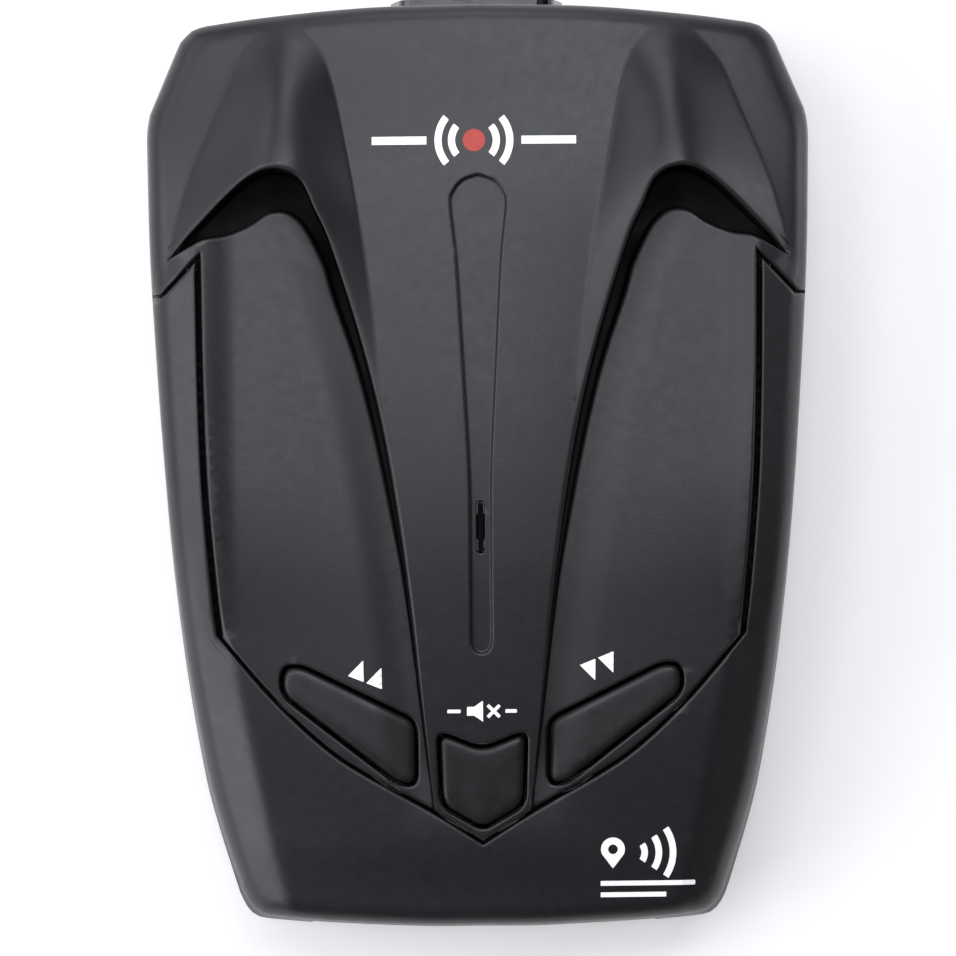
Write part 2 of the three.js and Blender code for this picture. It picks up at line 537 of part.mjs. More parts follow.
place('usb_port', usbBody, steel());
HOUSING_SCREWS.forEach(([x, y], i) => {
  const screw = [
    [0, 1.5], [2.0, 1.35], [2.35, 1.6], [2.35, 2.6],
    [1.2, 2.6], [1.2, 9.2], [0.6, 9.9], [0, 9.9],
  ];
  place(`housing_screw_${i + 1}`, turned(x, y, screw, 12), look('#2a2a2c', 0.4, 1));
});
BOARD_SCREWS.forEach(([x, y], i) => {
  const screw = [[0, 4.0], [0.8, 4.0], [0.8, 9.2], [1.8, 9.2], [1.8, 9.9], [1.3, 10.3], [0, 10.4]];
  place(`board_screw_${i + 1}`, turned(x, y, screw, 12), steel());
});
FEET.forEach(([x, y], i) => {
  const pad = [[0, 0], [4.1, 0], [4.5, 0.4], [4.5, 1.3], [0, 1.3]];
  place(`foot_${i + 1}`, turned(x, y, pad, 20), rubber());
});
const labelSheet = box(LABEL[0] + 0.3, LABEL[1] - 0.3, LABEL[2] + 0.3, LABEL[3] - 0.3, 1.0, 1.2);
place('rating_label', labelSheet, look('#c4c6c8', 0.5, 0));

export default detector;
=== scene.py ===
"""Dashboard radar detector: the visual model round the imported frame. Metres, +Y to the road, +Z up."""
import json
import math
import bpy
import numpy as np
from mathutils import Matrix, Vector
from mathutils.geometry import delaunay_2d_cdt


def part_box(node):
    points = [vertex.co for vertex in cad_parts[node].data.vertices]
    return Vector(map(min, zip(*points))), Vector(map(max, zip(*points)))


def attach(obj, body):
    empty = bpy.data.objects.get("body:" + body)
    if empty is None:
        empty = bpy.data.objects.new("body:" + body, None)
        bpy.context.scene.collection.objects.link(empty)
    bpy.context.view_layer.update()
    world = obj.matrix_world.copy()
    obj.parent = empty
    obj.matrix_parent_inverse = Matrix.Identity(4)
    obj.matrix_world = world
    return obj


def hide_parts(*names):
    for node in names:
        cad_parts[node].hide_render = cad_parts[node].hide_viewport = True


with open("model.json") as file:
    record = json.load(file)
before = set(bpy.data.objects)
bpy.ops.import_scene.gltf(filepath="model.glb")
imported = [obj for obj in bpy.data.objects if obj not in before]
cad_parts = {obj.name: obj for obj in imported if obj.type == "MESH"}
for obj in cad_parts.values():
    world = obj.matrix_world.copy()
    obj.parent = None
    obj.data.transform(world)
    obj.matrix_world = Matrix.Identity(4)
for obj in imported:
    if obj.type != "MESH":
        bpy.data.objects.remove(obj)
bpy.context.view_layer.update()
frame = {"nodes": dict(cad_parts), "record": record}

MM = 0.001
CENTRING = -0.27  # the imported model's own shift in Y, in mm

# ---------- camera: straight down, the road end at the top of the picture ----------
FRAME_WIDTH = 107.1  # millimetres across the picture at the height of the shells
LENS = 300.0
SENSOR = 36.0
AIM = (-0.25, -1.75, 22.0)
CAMERA_TURN = -0.47  # degrees; the object leans a little in the picture
camera = bpy.data.objects.new("camera", bpy.data.cameras.new("camera"))
bpy.context.scene.collection.objects.link(camera)
camera.data.lens = LENS
camera.data.sensor_width = SENSOR
camera.data.clip_start = 0.01
camera.location = [AIM[0] * MM, AIM[1] * MM, (AIM[2] + FRAME_WIDTH * LENS / SENSOR) * MM]
camera.rotation_euler = (0, 0, math.radians(CAMERA_TURN))
bpy.context.scene.camera = camera
bpy.context.scene.view_settings.view_transform = "Standard"

# ---------- small mathematics ----------
def clamp01(t):
    return np.clip(t, 0.0, 1.0)


def smooth(t):
    t = clamp01(t)
    return t * t * (3 - 2 * t)


def profile(stations):
    """Smooth function of y through a few (y, value) stations, flat beyond both ends."""
    ys = np.array([s[0] for s in stations], float)
    vs = np.array([s[1] for s in stations], float)
    slopes = np.zeros_like(vs)
    slopes[1:-1] = (vs[2:] - vs[:-2]) / (ys[2:] - ys[:-2])

    def value(y):
        y = np.clip(np.asarray(y, float), ys[0], ys[-1])
        i = np.clip(np.searchsorted(ys, y, side="right") - 1, 0, len(ys) - 2)
        span = ys[i + 1] - ys[i]
        t = (y - ys[i]) / span
        start = (1 + 2 * t) * (1 - t) ** 2 * vs[i] + t * (1 - t) ** 2 * span * slopes[i]
        return start + t * t * (3 - 2 * t) * vs[i + 1] + t * t * (t - 1) * span * slopes[i + 1]
    return value


def catmull(points, closed=False, per_span=12):
    """Dense Catmull-Rom curve through control points."""
    p = np.array(points, float)
    if closed:
        p = np.vstack([p[-1], p, p[0], p[1]])
    else:
        p = np.vstack([2 * p[0] - p[1], p, 2 * p[-1] - p[-2]])
    out = []
    for a, b, c, d in zip(p[:-3], p[1:-2], p[2:-1], p[3:]):
        t = np.linspace(0, 1, per_span, endpoint=False)[:, None]
        out.append(0.5 * (2 * b + (c - a) * t + (2 * a - 5 * b + 4 * c - d) * t ** 2
                          + (3 * b - a - 3 * c + d) * t ** 3))
    curve = np.vstack(out)
    return curve if closed else np.vstack([curve, p[-2]])


def resample(points, step, closed=False):
    """Points at even spacing along a path."""
    p = np.array(points, float)
    if closed:
        p = np.vstack([p, p[0]])
    lengths = np.concatenate([[0], np.cumsum(np.hypot(*np.diff(p, axis=0).T))])
    count = max(3, int(round(lengths[-1] / step)))
    at = np.linspace(0, lengths[-1], count + 1)
    even = np.column_stack([np.interp(at, lengths, p[:, 0]), np.interp(at, lengths, p[:, 1])])
    return even[:-1] if closed else even


def offset_path(points, distance, closed=False):
    """Path moved sideways, to its left for a positive distance; distance may vary along it."""
    p = np.array(points, float)
    before = np.roll(p, 1, 0)
    after = np.roll(p, -1, 0)
    if not closed:
        before[0] = 2 * p[0] - p[1]
        after[-1] = 2 * p[-1] - p[-2]
    into = p - before
    away = after - p
    into /= np.maximum(np.hypot(*into.T), 1e-9)[:, None]
    away /= np.maximum(np.hypot(*away.T), 1e-9)[:, None]
    normal = np.column_stack([-into[:, 1] - away[:, 1], into[:, 0] + away[:, 0]])
    normal /= np.maximum(np.hypot(*normal.T), 1e-9)[:, None]
    mitre = np.maximum(0.5, -normal[:, 0] * into[:, 1] + normal[:, 1] * into[:, 0])
    return p + normal * (np.broadcast_to(distance, len(p)) / mitre)[:, None]


def rounded(points, radius, steps=7):
    """Closed polygon with round corners; radius is one number or one per corner."""
    p = np.array(points, float)
    radii = np.broadcast_to(radius, len(p))
    out = []
    for i, corner in enumerate(p):
        before, after = p[i - 1], p[(i + 1) % len(p)]
        into, away = before - corner, after - corner
        a = corner + into * min(radii[i] / np.hypot(*into), 0.49)
        b = corner + away * min(radii[i] / np.hypot(*away), 0.49)
        t = np.linspace(0, 1, steps)[:, None]
        out.append((1 - t) ** 2 * a + 2 * t * (1 - t) * corner + t * t * b)
    return np.vstack(out)


def inside(points, loop):
    """Which points lie in a closed polygon."""
    x, y = points[:, 0], points[:, 1]
    hit = np.zeros(len(points), bool)
    a = np.asarray(loop, float)
    b = np.roll(a, -1, 0)
    for (ax, ay), (bx, by) in zip(a, b):
        if ay == by:
            continue
        crosses = ((ay > y) != (by > y)) & (x < (bx - ax) * (y - ay) / (by - ay) + ax)
        hit ^= crosses
    return hit


def mirrored(p):
    return np.column_stack([-p[:, 0], p[:, 1]])[::-1]


# ---------- outline of the case, seen from above, in mm ----------
HALF_WIDTH, HALF_LENGTH = 37.5, 52.25
front_edge = catmull([(0, 52.1), (12.5, 51.8), (23.7, 50.9), (31.0, 50.0)])
side_edge = catmull([(37.2, 40.0), (37.5, 38.0), (37.5, 34.5), (37.15, 20.75), (35.6, -3.3), (33.8, -20.4),
                     (31.6, -34.1), (29.9, -41.0), (27.8, -47.6)])
rear_edge = catmull([(22.2, -51.5), (16.4, -51.95), (6.5, -52.4), (0, -52.4)])
front_corner = catmull([(31.0, 50.0), (32.4, 49.5), (33.7, 48.2)])
rear_corner = catmull([(27.8, -47.6), (27.5, -48.6), (26.6, -50.2), (25.3, -51.1), (22.2, -51.5)])
right_half = np.vstack([front_edge[:-1], front_corner, side_edge[:-1], rear_corner, rear_edge[1:]])
OUTLINE_STEP = 0.9
outline = resample(np.vstack([right_half[:-1], mirrored(right_half)[:-1]])[::-1], OUTLINE_STEP, closed=True)


def inset(d):
    return outline * [1 - d / HALF_WIDTH, 1 - d / HALF_LENGTH]


# ---------- heights, in mm ----------
panel_line = profile([(-53, 16.2), (-42, 18.5), (-30, 20.7), (-20, 21.9), (-10, 22.8), (5, 23.4),
                      (20, 23.6), (33, 23.6)])
spine_step = profile([(-44, 0.4), (-30, 1.0), (-20, 1.8), (0, 3.0), (20, 3.4), (33, 3.1), (53, 0.9)])
rear_crown = profile([(-52, 1.8), (-40, 2.2), (-20, 1.1), (0, 0)])
hood_rise = profile([(2, 0), (12, 1.9), (24, 3.9), (33, 5.2), (41, 3.6), (50, 0)])
hood_inner = profile([(2, 10.3), (13, 11.4), (24, 12.7), (36, 14.8), (46, 17.1), (50, 20.0)])
hood_outer = profile([(23, 34.75), (30, 33.2), (35, 31.3), (40, 29.2), (45, 27.1), (50, 24.0)])
half_width_at = profile([(-52, 27.6), (-41, 29.9), (-20, 33.8), (-3, 35.6), (20, 37.1), (36, 37.5)])
lip_at = profile([(-39, 5.4), (-20, 7.4), (-4, 9.4), (10, 12.1), (22, 15.6), (30, 18.8)])


CREST_ROUNDNESS = 0.35
CREST_SHIFT = 0.92


def hood_shape(share):
    """Cross-section of a hood: 0 at both feet, 1 at its crest, with nearly straight flanks."""
    aside = np.abs(2 * share ** CREST_SHIFT - 1)
    foot = math.hypot(1, CREST_ROUNDNESS)
    return (foot - np.hypot(aside, CREST_ROUNDNESS)) / (foot - CREST_ROUNDNESS)


def upper_height(x, y):
    """Front, spine and hoods."""
    u = np.abs(x)
    share = clamp01((u - hood_inner(y)) / (hood_outer(y) - hood_inner(y)))
    spine = panel_line(y) + spine_step(y) - 0.0036 * u * u
    return spine + hood_rise(y) * hood_shape(share)


def lower_height(x, y):
    """Side panels and rear frame."""
    u = np.abs(x)
    rim = 0.9 * smooth((u - 27.2) / 4) * smooth((y + 22) / 8)
    trough = 0.7 * (1 - smooth((u - lip_at(y) - 0.8) / 5)) * smooth((y + 42) / 10)
    fall = 0.42 * np.maximum(0, u - half_width_at(y) + 5.8)
    return panel_line(y) + rim - trough - fall - rear_crown(y) * (u / 30) ** 2


# ---------- feature lines ----------
lip_line = catmull([(34.75, 23.3), (28.2, 30.0), (24.8, 32.6), (22.2, 33.1), (19.8, 31.9), (18.2, 28.6),
                    (16.5, 24.7), (13.4, 14.7), (11.15, 5.5), (9.4, -4.5), (8.0, -15.0), (6.7, -27.0),
                    (5.4, -38.8)])
low_side = np.vstack([lip_line, [(4.9, -43.5), (0, -47), (0, -60), (60, -60), (60, 23.3)]])


def is_low(points):
    """Points on the side panels and the rear frame, below the lip of the hoods and the spine."""
    folded = np.column_stack([np.abs(points[:, 0]), points[:, 1]])
    return inside(folded, low_side)


def surface(points):
    """Height of the case before its edges are rounded, with a smooth wing behind each hood's tip."""
    x, y = points[:, 0], points[:, 1]
    high, low = upper_height(x, y), lower_height(x, y)
    wing = smooth((y - 19.3) / 3.5) * smooth((np.abs(x) - 32.6) / 2.2)
    return np.where(is_low(points), low + (high - low) * wing, high)


SHELL_Z = 9.9  # lower edge of the upper shells
SIDE_DRAFT = 0.5  # how far the side walls lean in, up to where the edge starts to round
EDGE_RADIUS = 2.0
_angles = np.arctan2(outline[:, 1], outline[:, 0])
_order = np.argsort(_angles)
_angles = _angles[_order]
_radii = np.hypot(*outline[_order].T)


def depth_of(points):
    """How far each point lies inside the outline, in mm, scaled as in inset(); negative outside."""
    points = np.asarray(points, float)
    low, high = np.full(len(points), -6.0), np.full(len(points), 34.0)
    for _ in range(22):
        d = (low + high) / 2
        q = points / np.column_stack([1 - d / HALF_WIDTH, 1 - d / HALF_LENGTH])
        reach = np.interp(np.arctan2(q[:, 1], q[:, 0]), _angles, _radii, period=2 * math.pi)
        outside = np.hypot(*q.T) > reach
        high = np.where(outside, d, high)
        low = np.where(outside, low, d)
    return (low + high) / 2


def rolled(d, top):
    """Height of the side wall and rounded edge at inset d, under a roof at height top."""
    t = clamp01((d - SIDE_DRAFT) / EDGE_RADIUS)
    arc = top - EDGE_RADIUS + EDGE_RADIUS * np.sqrt(np.maximum(0, 1 - (1 - t) ** 2))
    wall = SHELL_Z + (top - EDGE_RADIUS - SHELL_Z) * clamp01(d / SIDE_DRAFT)
    return np.where(d < SIDE_DRAFT, wall, arc)


def skin(points):
    """Height of the finished outer skin of the upper shells, without grooves and recesses."""
    return rolled(depth_of(points), surface(points))


# ---------- sheet builder: a height map whose edges run along chosen lines ----------
class Sheet:
    """Collects lines of (x, y, z) and field points, and triangulates them in plan."""

    def __init__(self, height, keep):
        self.height = height  # z for points that carry none
        self.keep = keep  # function of (n, 2) points: True inside the piece
        self.xy = []
        self.z = []
        self.edges = []
        self.count = 0

    def line(self, path, z, closed=False):
        path = np.asarray(path, float)
        n = len(path)
        self.xy.append(path)
        self.z.append(np.broadcast_to(np.asarray(z, float), n))
        ends = [(self.count + i, self.count + i + 1) for i in range(n - 1)]
        if closed:
            ends.append((self.count + n - 1, self.count))
        self.edges += ends
        self.count += n

    def field(self, box, step, clear=0.45):
        """Grid of points inside box, away from every line."""
        x0, x1, y0, y1 = box
        xs = np.arange(x0, x1, step)
        ys = np.arange(y0, y1, step * 0.87)
        gx, gy = np.meshgrid(xs, ys)
        gx = gx + (np.arange(len(ys)) % 2)[:, None] * step / 2
        points = np.column_stack([gx.ravel(), gy.ravel()])
        points = points[self.keep(points)]
        lines = np.vstack(self.xy)
        cell = 2.0
        buckets = {}
        for i, key in enumerate(map(tuple, np.floor(lines / cell).astype(int))):
            buckets.setdefault(key, []).append(i)
        good = []
        around = [(dx, dy) for dx in (-1, 0, 1) for dy in (-1, 0, 1)]
        for p in points:
            kx, ky = int(math.floor(p[0] / cell)), int(math.floor(p[1] / cell))
            near = [i for dx, dy in around for i in buckets.get((kx + dx, ky + dy), ())]
            if near and np.min(np.hypot(*(lines[near] - p).T)) < clear * step:
                continue
            good.append(p)
        if good:
            good = np.array(good)
            self.xy.append(good)
            self.z.append(self.height(good))
            self.count += len(good)

    def build(self, name, material, body="case", flip=False, lift=0.0, inlay=None, closed=False,
              extra=None):
        """Makes the piece. inlay is (material, test) for the faces whose middle passes the test.
        closed adds a flat face across the outer edge; extra is (points, faces) of one more solid."""
        xy = np.vstack(self.xy)
        z = np.concatenate(self.z)
        verts, _, faces, origins, _, _ = delaunay_2d_cdt([Vector(p) for p in xy], self.edges, [], 0, 1e-5)
        out_xy = np.array([tuple(v) for v in verts])
        out_z = self.height(out_xy)
        for i, origin in enumerate(origins):
            if origin:
                out_z[i] = z[origin[0]]
        tri = np.array([f for f in faces if len(f) == 3])
        centre = out_xy[tri].mean(1)
        tri = tri[self.keep(centre)]
        a, b, c = out_xy[tri[:, 0]], out_xy[tri[:, 1]], out_xy[tri[:, 2]]
        area = (b[:, 0] - a[:, 0]) * (c[:, 1] - a[:, 1]) - (b[:, 1] - a[:, 1]) * (c[:, 0] - a[:, 0])
        tri = tri[np.abs(area) > 1e-9]
        area = area[np.abs(area) > 1e-9]
        turned = (area < 0) != flip
        tri[turned] = tri[turned][:, ::-1]
        used, inverse = np.unique(tri, return_inverse=True)
        points = np.column_stack([out_xy[used], out_z[used] + lift])
        points[:, 1] += CENTRING
        faces = [tuple(f) for f in inverse.reshape(-1, 3)]
        if closed:
            faces.append(outer_loop(faces)[::-1])
        if extra:
            faces += [tuple(i + len(points) for i in f) for f in extra[1]]
            points = np.vstack([points, extra[0] + [0, CENTRING, 0]])
        piece = add_mesh(name, points * MM, faces, material, body, CLOSED_SHARP if closed else None)
        if inlay:
            piece.data.materials.append(inlay[0])
            chosen = np.zeros(len(piece.data.polygons), np.int32)
            chosen[:len(tri)] = inlay[1](out_xy[tri].mean(1))
            piece.data.polygons.foreach_set("material_index", chosen)
        return piece


CLOSED_SHARP = 50.0  # degrees; steeper edges of closed pieces are shaded sharp


def outer_loop(faces):
    """Vertices of the open edge round a sheet, in the order its faces run."""
    directed = {(f[i - 1], f[i]) for f in faces for i in range(len(f))}
    onward = {a: b for a, b in directed if (b, a) not in directed}
    loop = [next(iter(sorted(onward)))]
    while onward[loop[-1]] != loop[0]:
        loop.append(onward[loop[-1]])
    return loop


def rod(x, y, radius, z0, z1, sides=24):
    """Points and faces of an upright cylinder, in mm."""
    a = np.linspace(0, 2 * math.pi, sides, endpoint=False)
    ring = np.column_stack([x + radius * np.cos(a), y + radius * np.sin(a)])
    points = np.vstack([np.column_stack([ring, np.full(sides, z)]) for z in (z0, z1)])
    faces = [(i, (i + 1) % sides, (i + 1) % sides + sides, i + sides) for i in range(sides)]
    return points, faces + [tuple(range(sides))[::-1], tuple(range(sides, 2 * sides))]


def add_mesh(name, points, faces, material, body="case", sharp=None):
    mesh = bpy.data.meshes.new(name)
    mesh.from_pydata([tuple(p) for p in points], [], [tuple(int(i) for i in f) for f in faces])
    mesh.validate()
    mesh.shade_smooth()
    obj = bpy.data.objects.new(name, mesh)
    bpy.context.scene.collection.objects.link(obj)
    obj.data.materials.append(material)
    if sharp is not None:
        mesh.set_sharp_from_angle(angle=math.radians(sharp))
    weighted = obj.modifiers.new("weighted", "WEIGHTED_NORMAL")
    weighted.keep_sharp = True
    weighted.weight = 80
    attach(obj, body)
    return obj


# ---------- materials ----------
def new_material(name):
    material = bpy.data.materials.new(name)
    material.use_nodes = True
    nodes = material.node_tree.nodes
    nodes.clear()
    output = nodes.new("ShaderNodeOutputMaterial")
    shader = nodes.new("ShaderNodeBsdfPrincipled")
    material.node_tree.links.new(shader.outputs[0], output.inputs[0])
    return material, nodes, material.node_tree.links, shader


def noise(nodes, links, coords, scale, detail=4.0, roughness=0.6):
    node = nodes.new("ShaderNodeTexNoise")
    node.inputs["Scale"].default_value = scale
    node.inputs["Detail"].default_value = detail
    node.inputs["Roughness"].default_value = roughness
    links.new(coords, node.inputs["Vector"])
    return node.outputs["Fac"]


def ramp(nodes, links, source, stops):
    node = nodes.new("ShaderNodeValToRGB")
    elements = node.color_ramp.elements
    while len(elements) < len(stops):
        elements.new(0.5)
    for element, (position, colour) in zip(elements, stops):
        element.position = position
        element.color = (*colour, 1)
    links.new(source, node.inputs[0])
    return node.outputs[0]


def grey(v):
    return (v, v, v)


def coloured(name, dark, light, rough, grain, depth, metallic=0.0, mottle=60.0, specular=0.5, wear_and_highlight=None,
             rough_swing=0.08, coat=0.0):
    """Material with mottled colour, uneven roughness, surface grain and, if given, paler convex edges,
    partly wear and partly a painted highlight.
    dark and light are linear colours, grain a size in mm, depth the bump's height in mm."""
    material, nodes, links, shader = new_material(name)
    coords = nodes.new("ShaderNodeTexCoord").outputs["Object"]
    cloud = noise(nodes, links, coords, mottle, 5.0)
    fine = noise(nodes, links, coords, 1.0 / (grain * MM), 3.0, 0.7)
    colour = ramp(nodes, links, cloud, [(0.3, dark), (0.7, light)])
    # paler convex edges from Pointiness: partly wear, partly a painted highlight along the edges
    if wear_and_highlight:
        point = nodes.new("ShaderNodeNewGeometry").outputs["Pointiness"]
        worn_and_highlit = ramp(nodes, links, point, [(0.52, grey(0.0)), (0.62, grey(1.0))])
        scuffed_and_highlit = nodes.new("ShaderNodeMath")
        scuffed_and_highlit.operation = "MULTIPLY"
        links.new(worn_and_highlit, scuffed_and_highlit.inputs[0])
        links.new(noise(nodes, links, coords, 900.0), scuffed_and_highlit.inputs[1])
        mix = nodes.new("ShaderNodeMix")
        mix.data_type = "RGBA"
        links.new(scuffed_and_highlit.outputs[0], mix.inputs["Factor"])
        links.new(colour, mix.inputs["A"])
        mix.inputs["B"].default_value = (*wear_and_highlight, 1)
        colour = mix.outputs["Result"]
    links.new(colour, shader.inputs["Base Color"])
    uneven = noise(nodes, links, coords, mottle * 6, 4.0)
    glosses = [(0.3, grey(rough - rough_swing)), (0.7, grey(rough + rough_swing))]
    links.new(ramp(nodes, links, uneven, glosses), shader.inputs["Roughness"])
    bump = nodes.new("ShaderNodeBump")
    bump.inputs["Distance"].default_value = depth * MM
    bump.inputs["Strength"].default_value = 1.0
    links.new(fine, bump.inputs["Height"])
    links.new(bump.outputs[0], shader.inputs["Normal"])
    shader.inputs["Metallic"].default_value = metallic
    shader.inputs["Specular IOR Level"].default_value = specular
    shader.inputs["Coat Weight"].default_value = coat
    shader.inputs["Coat Roughness"].default_value = 0.08
    return material


# the shell's and the keys' paler edges are partly wear and partly a painted highlight
SHELL = coloured("charcoal_shell", (0.0132, 0.0137, 0.0148), (0.0158, 0.0164, 0.0178), 0.40, 0.22, 0.012,
                 mottle=130.0, rough_swing=0.035, wear_and_highlight=(0.075, 0.074, 0.070))
# painted shade: a black material laid on the groove floors, the ledge in the seam, the slot's walls and the
# keys' sides, where only shade falls
PAINTED_SHADE = coloured("groove_painted_shade", (0.006, 0.0055, 0.005), (0.009, 0.0085, 0.008), 0.6, 0.3, 0.01,
                specular=0.12)
KEY = coloured("charcoal_key", (0.0100, 0.0104, 0.0110), (0.0130, 0.0135, 0.0145), 0.43, 0.20, 0.010,
               wear_and_highlight=(0.060, 0.060, 0.058))
DARK_STEEL = coloured("black_steel", (0.05, 0.05, 0.053), (0.09, 0.09, 0.095), 0.38, 0.2, 0.006,
                      metallic=1.0)


def ink(name, dark, light, rough, depth):
    return coloured(name, dark, light, rough, 0.1, depth, mottle=900.0)


def glowing(material, strength):
    """Adds a weak white glow, so that a pale surface stays pale under soft light."""
    shader = next(node for node in material.node_tree.nodes if node.type == "BSDF_PRINCIPLED")
    shader.inputs["Emission Color"].default_value = (1, 1, 1, 1)
    shader.inputs["Emission Strength"].default_value = strength
    return material


# the white print glows weakly: painted light that keeps it pale under the soft lamps
PRINT_WHITE = glowing(ink("white_print", grey(0.90), grey(0.95), 0.45, 0.004), 0.28)
PRINT_RED = ink("red_print", (0.46, 0.035, 0.025), (0.56, 0.045, 0.03), 0.45, 0.004)
LABEL_INK = ink("label_ink", (0.03, 0.03, 0.032), (0.05, 0.05, 0.052), 0.5, 0.003)

MATERIAL_OF_SLOT = {
    "shell": SHELL,
    "key": KEY,
    "black_screw": DARK_STEEL,
    "smoked_window": coloured(
        "smoked_window", (0.004, 0.004, 0.005), (0.007, 0.007, 0.008), 0.08, 0.8, 0.001, rough_swing=0.03),
    "lens": coloured(
        "infrared_lens", (0.008, 0.003, 0.004), (0.014, 0.005, 0.007), 0.10, 0.8, 0.001, rough_swing=0.04),
    "circuit_board": coloured(
        "circuit_board", (0.012, 0.085, 0.045), (0.018, 0.11, 0.06), 0.35, 0.5, 0.006, coat=0.4),
    "chip": coloured(
        "moulded_chip", (0.012, 0.012, 0.013), (0.02, 0.02, 0.021), 0.55, 0.08, 0.006, mottle=300.0),
    "steel": coloured(
        "tinned_steel", (0.50, 0.51, 0.52), (0.62, 0.63, 0.64), 0.32, 0.3, 0.004, metallic=1.0),
    "capacitor_can": coloured(
        "aluminium_can", (0.66, 0.67, 0.68), (0.78, 0.79, 0.80), 0.25, 0.3, 0.003, metallic=1.0),
    "horn_casting": coloured(
        "die_casting", (0.42, 0.43, 0.44), (0.56, 0.57, 0.58), 0.48, 0.25, 0.02, metallic=1.0),
    "ceramic_patch": coloured(
        "tan_ceramic", (0.44, 0.36, 0.22), (0.56, 0.47, 0.31), 0.55, 0.15, 0.008, mottle=200.0),
    "silver_pad": coloured(
        "fired_silver", (0.62, 0.61, 0.56), (0.76, 0.75, 0.70), 0.35, 0.12, 0.006, metallic=1.0),
    "speaker_paper": coloured(
        "speaker_paper", (0.022, 0.02, 0.019), (0.036, 0.033, 0.03), 0.85, 0.15, 0.03, mottle=300.0),
    "connector": coloured(
        "ivory_nylon", (0.60, 0.56, 0.45), (0.72, 0.68, 0.58), 0.5, 0.2, 0.006),
    "rubber": coloured("matt_rubber", grey(0.014), grey(0.024), 0.82, 0.12, 0.02, mottle=300.0),
    "label": coloured("label_film", (0.48, 0.49, 0.50), (0.56, 0.57, 0.58), 0.35, 0.4, 0.003),
}
for part in frame["record"]["subparts"]:
    node = frame["nodes"][part["node"]]
    node.data.materials.clear()
    node.data.materials.append(MATERIAL_OF_SLOT[part["material_slot"]])


# ---------- upper shells ----------
SEAM_DEPTH = 1.25
SEAM_LEDGE = 0.45  # how far the cover reaches under the frame
RING_DEPTHS = [0.0, 0.06, 0.25, 0.5] + [0.5 + EDGE_RADIUS * (1 - math.cos(math.radians(a)))
                                         for a in (12, 24, 36, 48, 60, 72, 86)]
# (distance from a rounded edge, how far the skin has dropped there), in mm
EDGE_FILLET = [(0.5, 0.0), (0.34, 0.0), (0.22, -0.02), (0.12, -0.07), (0.05, -0.15), (0.015, -0.27)]


SEAM_HALF_GAPS = (0.17, 0.17, 0.31, 0.17)  # wider along the sides than at the corners and round the V


def crossing(a, b):
    """First place where path a meets path b: (segment of a, segment of b, point)."""
    for i in range(len(a) - 1):
        d = a[i + 1] - a[i]
        e = b[1:] - b[:-1]
        w = b[:-1] - a[i]
        det = d[0] * e[:, 1] - d[1] * e[:, 0]
        det = np.where(np.abs(det) < 1e-12, 1e-12, det)
        t = (w[:, 0] * e[:, 1] - w[:, 1] * e[:, 0]) / det
        u = (w[:, 0] * d[1] - w[:, 1] * d[0]) / det
        hits = np.nonzero((t >= 0) & (t <= 1) & (u >= 0) & (u <= 1))[0]
        if len(hits):
            j = int(hits[0])
            return i, j, a[i] + d * t[j]
    raise ValueError("the paths do not meet")


def extended(path, length=4.0):
    """Path with a straight piece added at each end."""
    first, last = path[0] - path[1], path[-1] - path[-2]
    return np.vstack([path[0] + first / np.hypot(*first) * length, path,
                      path[-1] + last / np.hypot(*last) * length])


SEAM_STEP = 0.55
SEAM_TIP_SLOPE = 0.64  # of the V at its point
seam_pieces = [resample(piece, SEAM_STEP) for piece in (
    [(60, 19.15), (35.5, 19.15)], [(35.5, 19.15), (31.4, 23.4)],
    catmull([(31.4, 23.4), (31.2, 8.1), (30.8, -3.0), (29.9, -14.0), (29.35, -19.15)]),
    catmull([(29.35, -19.15), (23.3, -26.2), (17.5, -31.7), (12.8, -34.9), (5.5, -39.0), (0, -42.5)]),
)]


def seam_at(distance):
    """Seam moved to the frame's side (positive) or the cover's side by its half gap and a distance."""
    side = 1 if distance > 0 else -1
    moved = [offset_path(extended(p), side * gap + distance) for p, gap in zip(seam_pieces, SEAM_HALF_GAPS)]
    path = moved[0]
    for piece in moved[1:]:
        i, j, corner = crossing(path, piece)
        path = np.vstack([path[:i + 1], corner, piece[j + 1:]])
    path = path[path[:, 0] > 0]
    near = path[-1]
    tip = np.array([0.0, near[1] - near[0] * SEAM_TIP_SLOPE])
    path = np.vstack([path, tip]) if near[0] > 0.05 else np.vstack([path[:-1], tip])
    return np.vstack([path, mirrored(path)[1:]])


def cover_side(distance):
    """Region from the seam, moved by a distance, to the road end."""
    return np.vstack([seam_at(distance), [(-60, 60), (60, 60)]])


def frame_side(distance):
    return np.vstack([seam_at(distance), [(-60, -60), (60, -60)]])


cover_limit, frame_limit = cover_side(-0.001), frame_side(0.001)
ledge_limit = cover_side(SEAM_LEDGE)

# keys: outlines of the openings' centrelines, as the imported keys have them
SIDE_KEY = [(7.4, -35.9), (9.4, -35.9), (22.6, -25.6), (22.4, -22.6), (20.4, -22.3), (7.4, -28.7)]
MUTE_KEY = [(0, -41.0), (4.7, -38.3), (4.95, -30.3), (3.9, -30.3),
            (0, -31.9), (-3.9, -30.3), (-4.95, -30.3), (-4.7, -38.3)]
KEY_OUTLINES = {
    "up_key": mirrored(np.array(SIDE_KEY, float)),
    "mute_key": np.array(MUTE_KEY, float),
    "down_key": np.array(SIDE_KEY, float),
}


def key_loop(name, grow):
    """Outline of a key grown outwards, in even steps."""
    base = offset_path(KEY_OUTLINES[name], -grow, closed=True)
    radius = 1.5 + grow if name != "mute_key" else [1.2, 1.5, 1.3, 0.9, 1.6, 0.9, 1.3, 1.5]
    return resample(rounded(base, radius, 9), 0.32, closed=True)


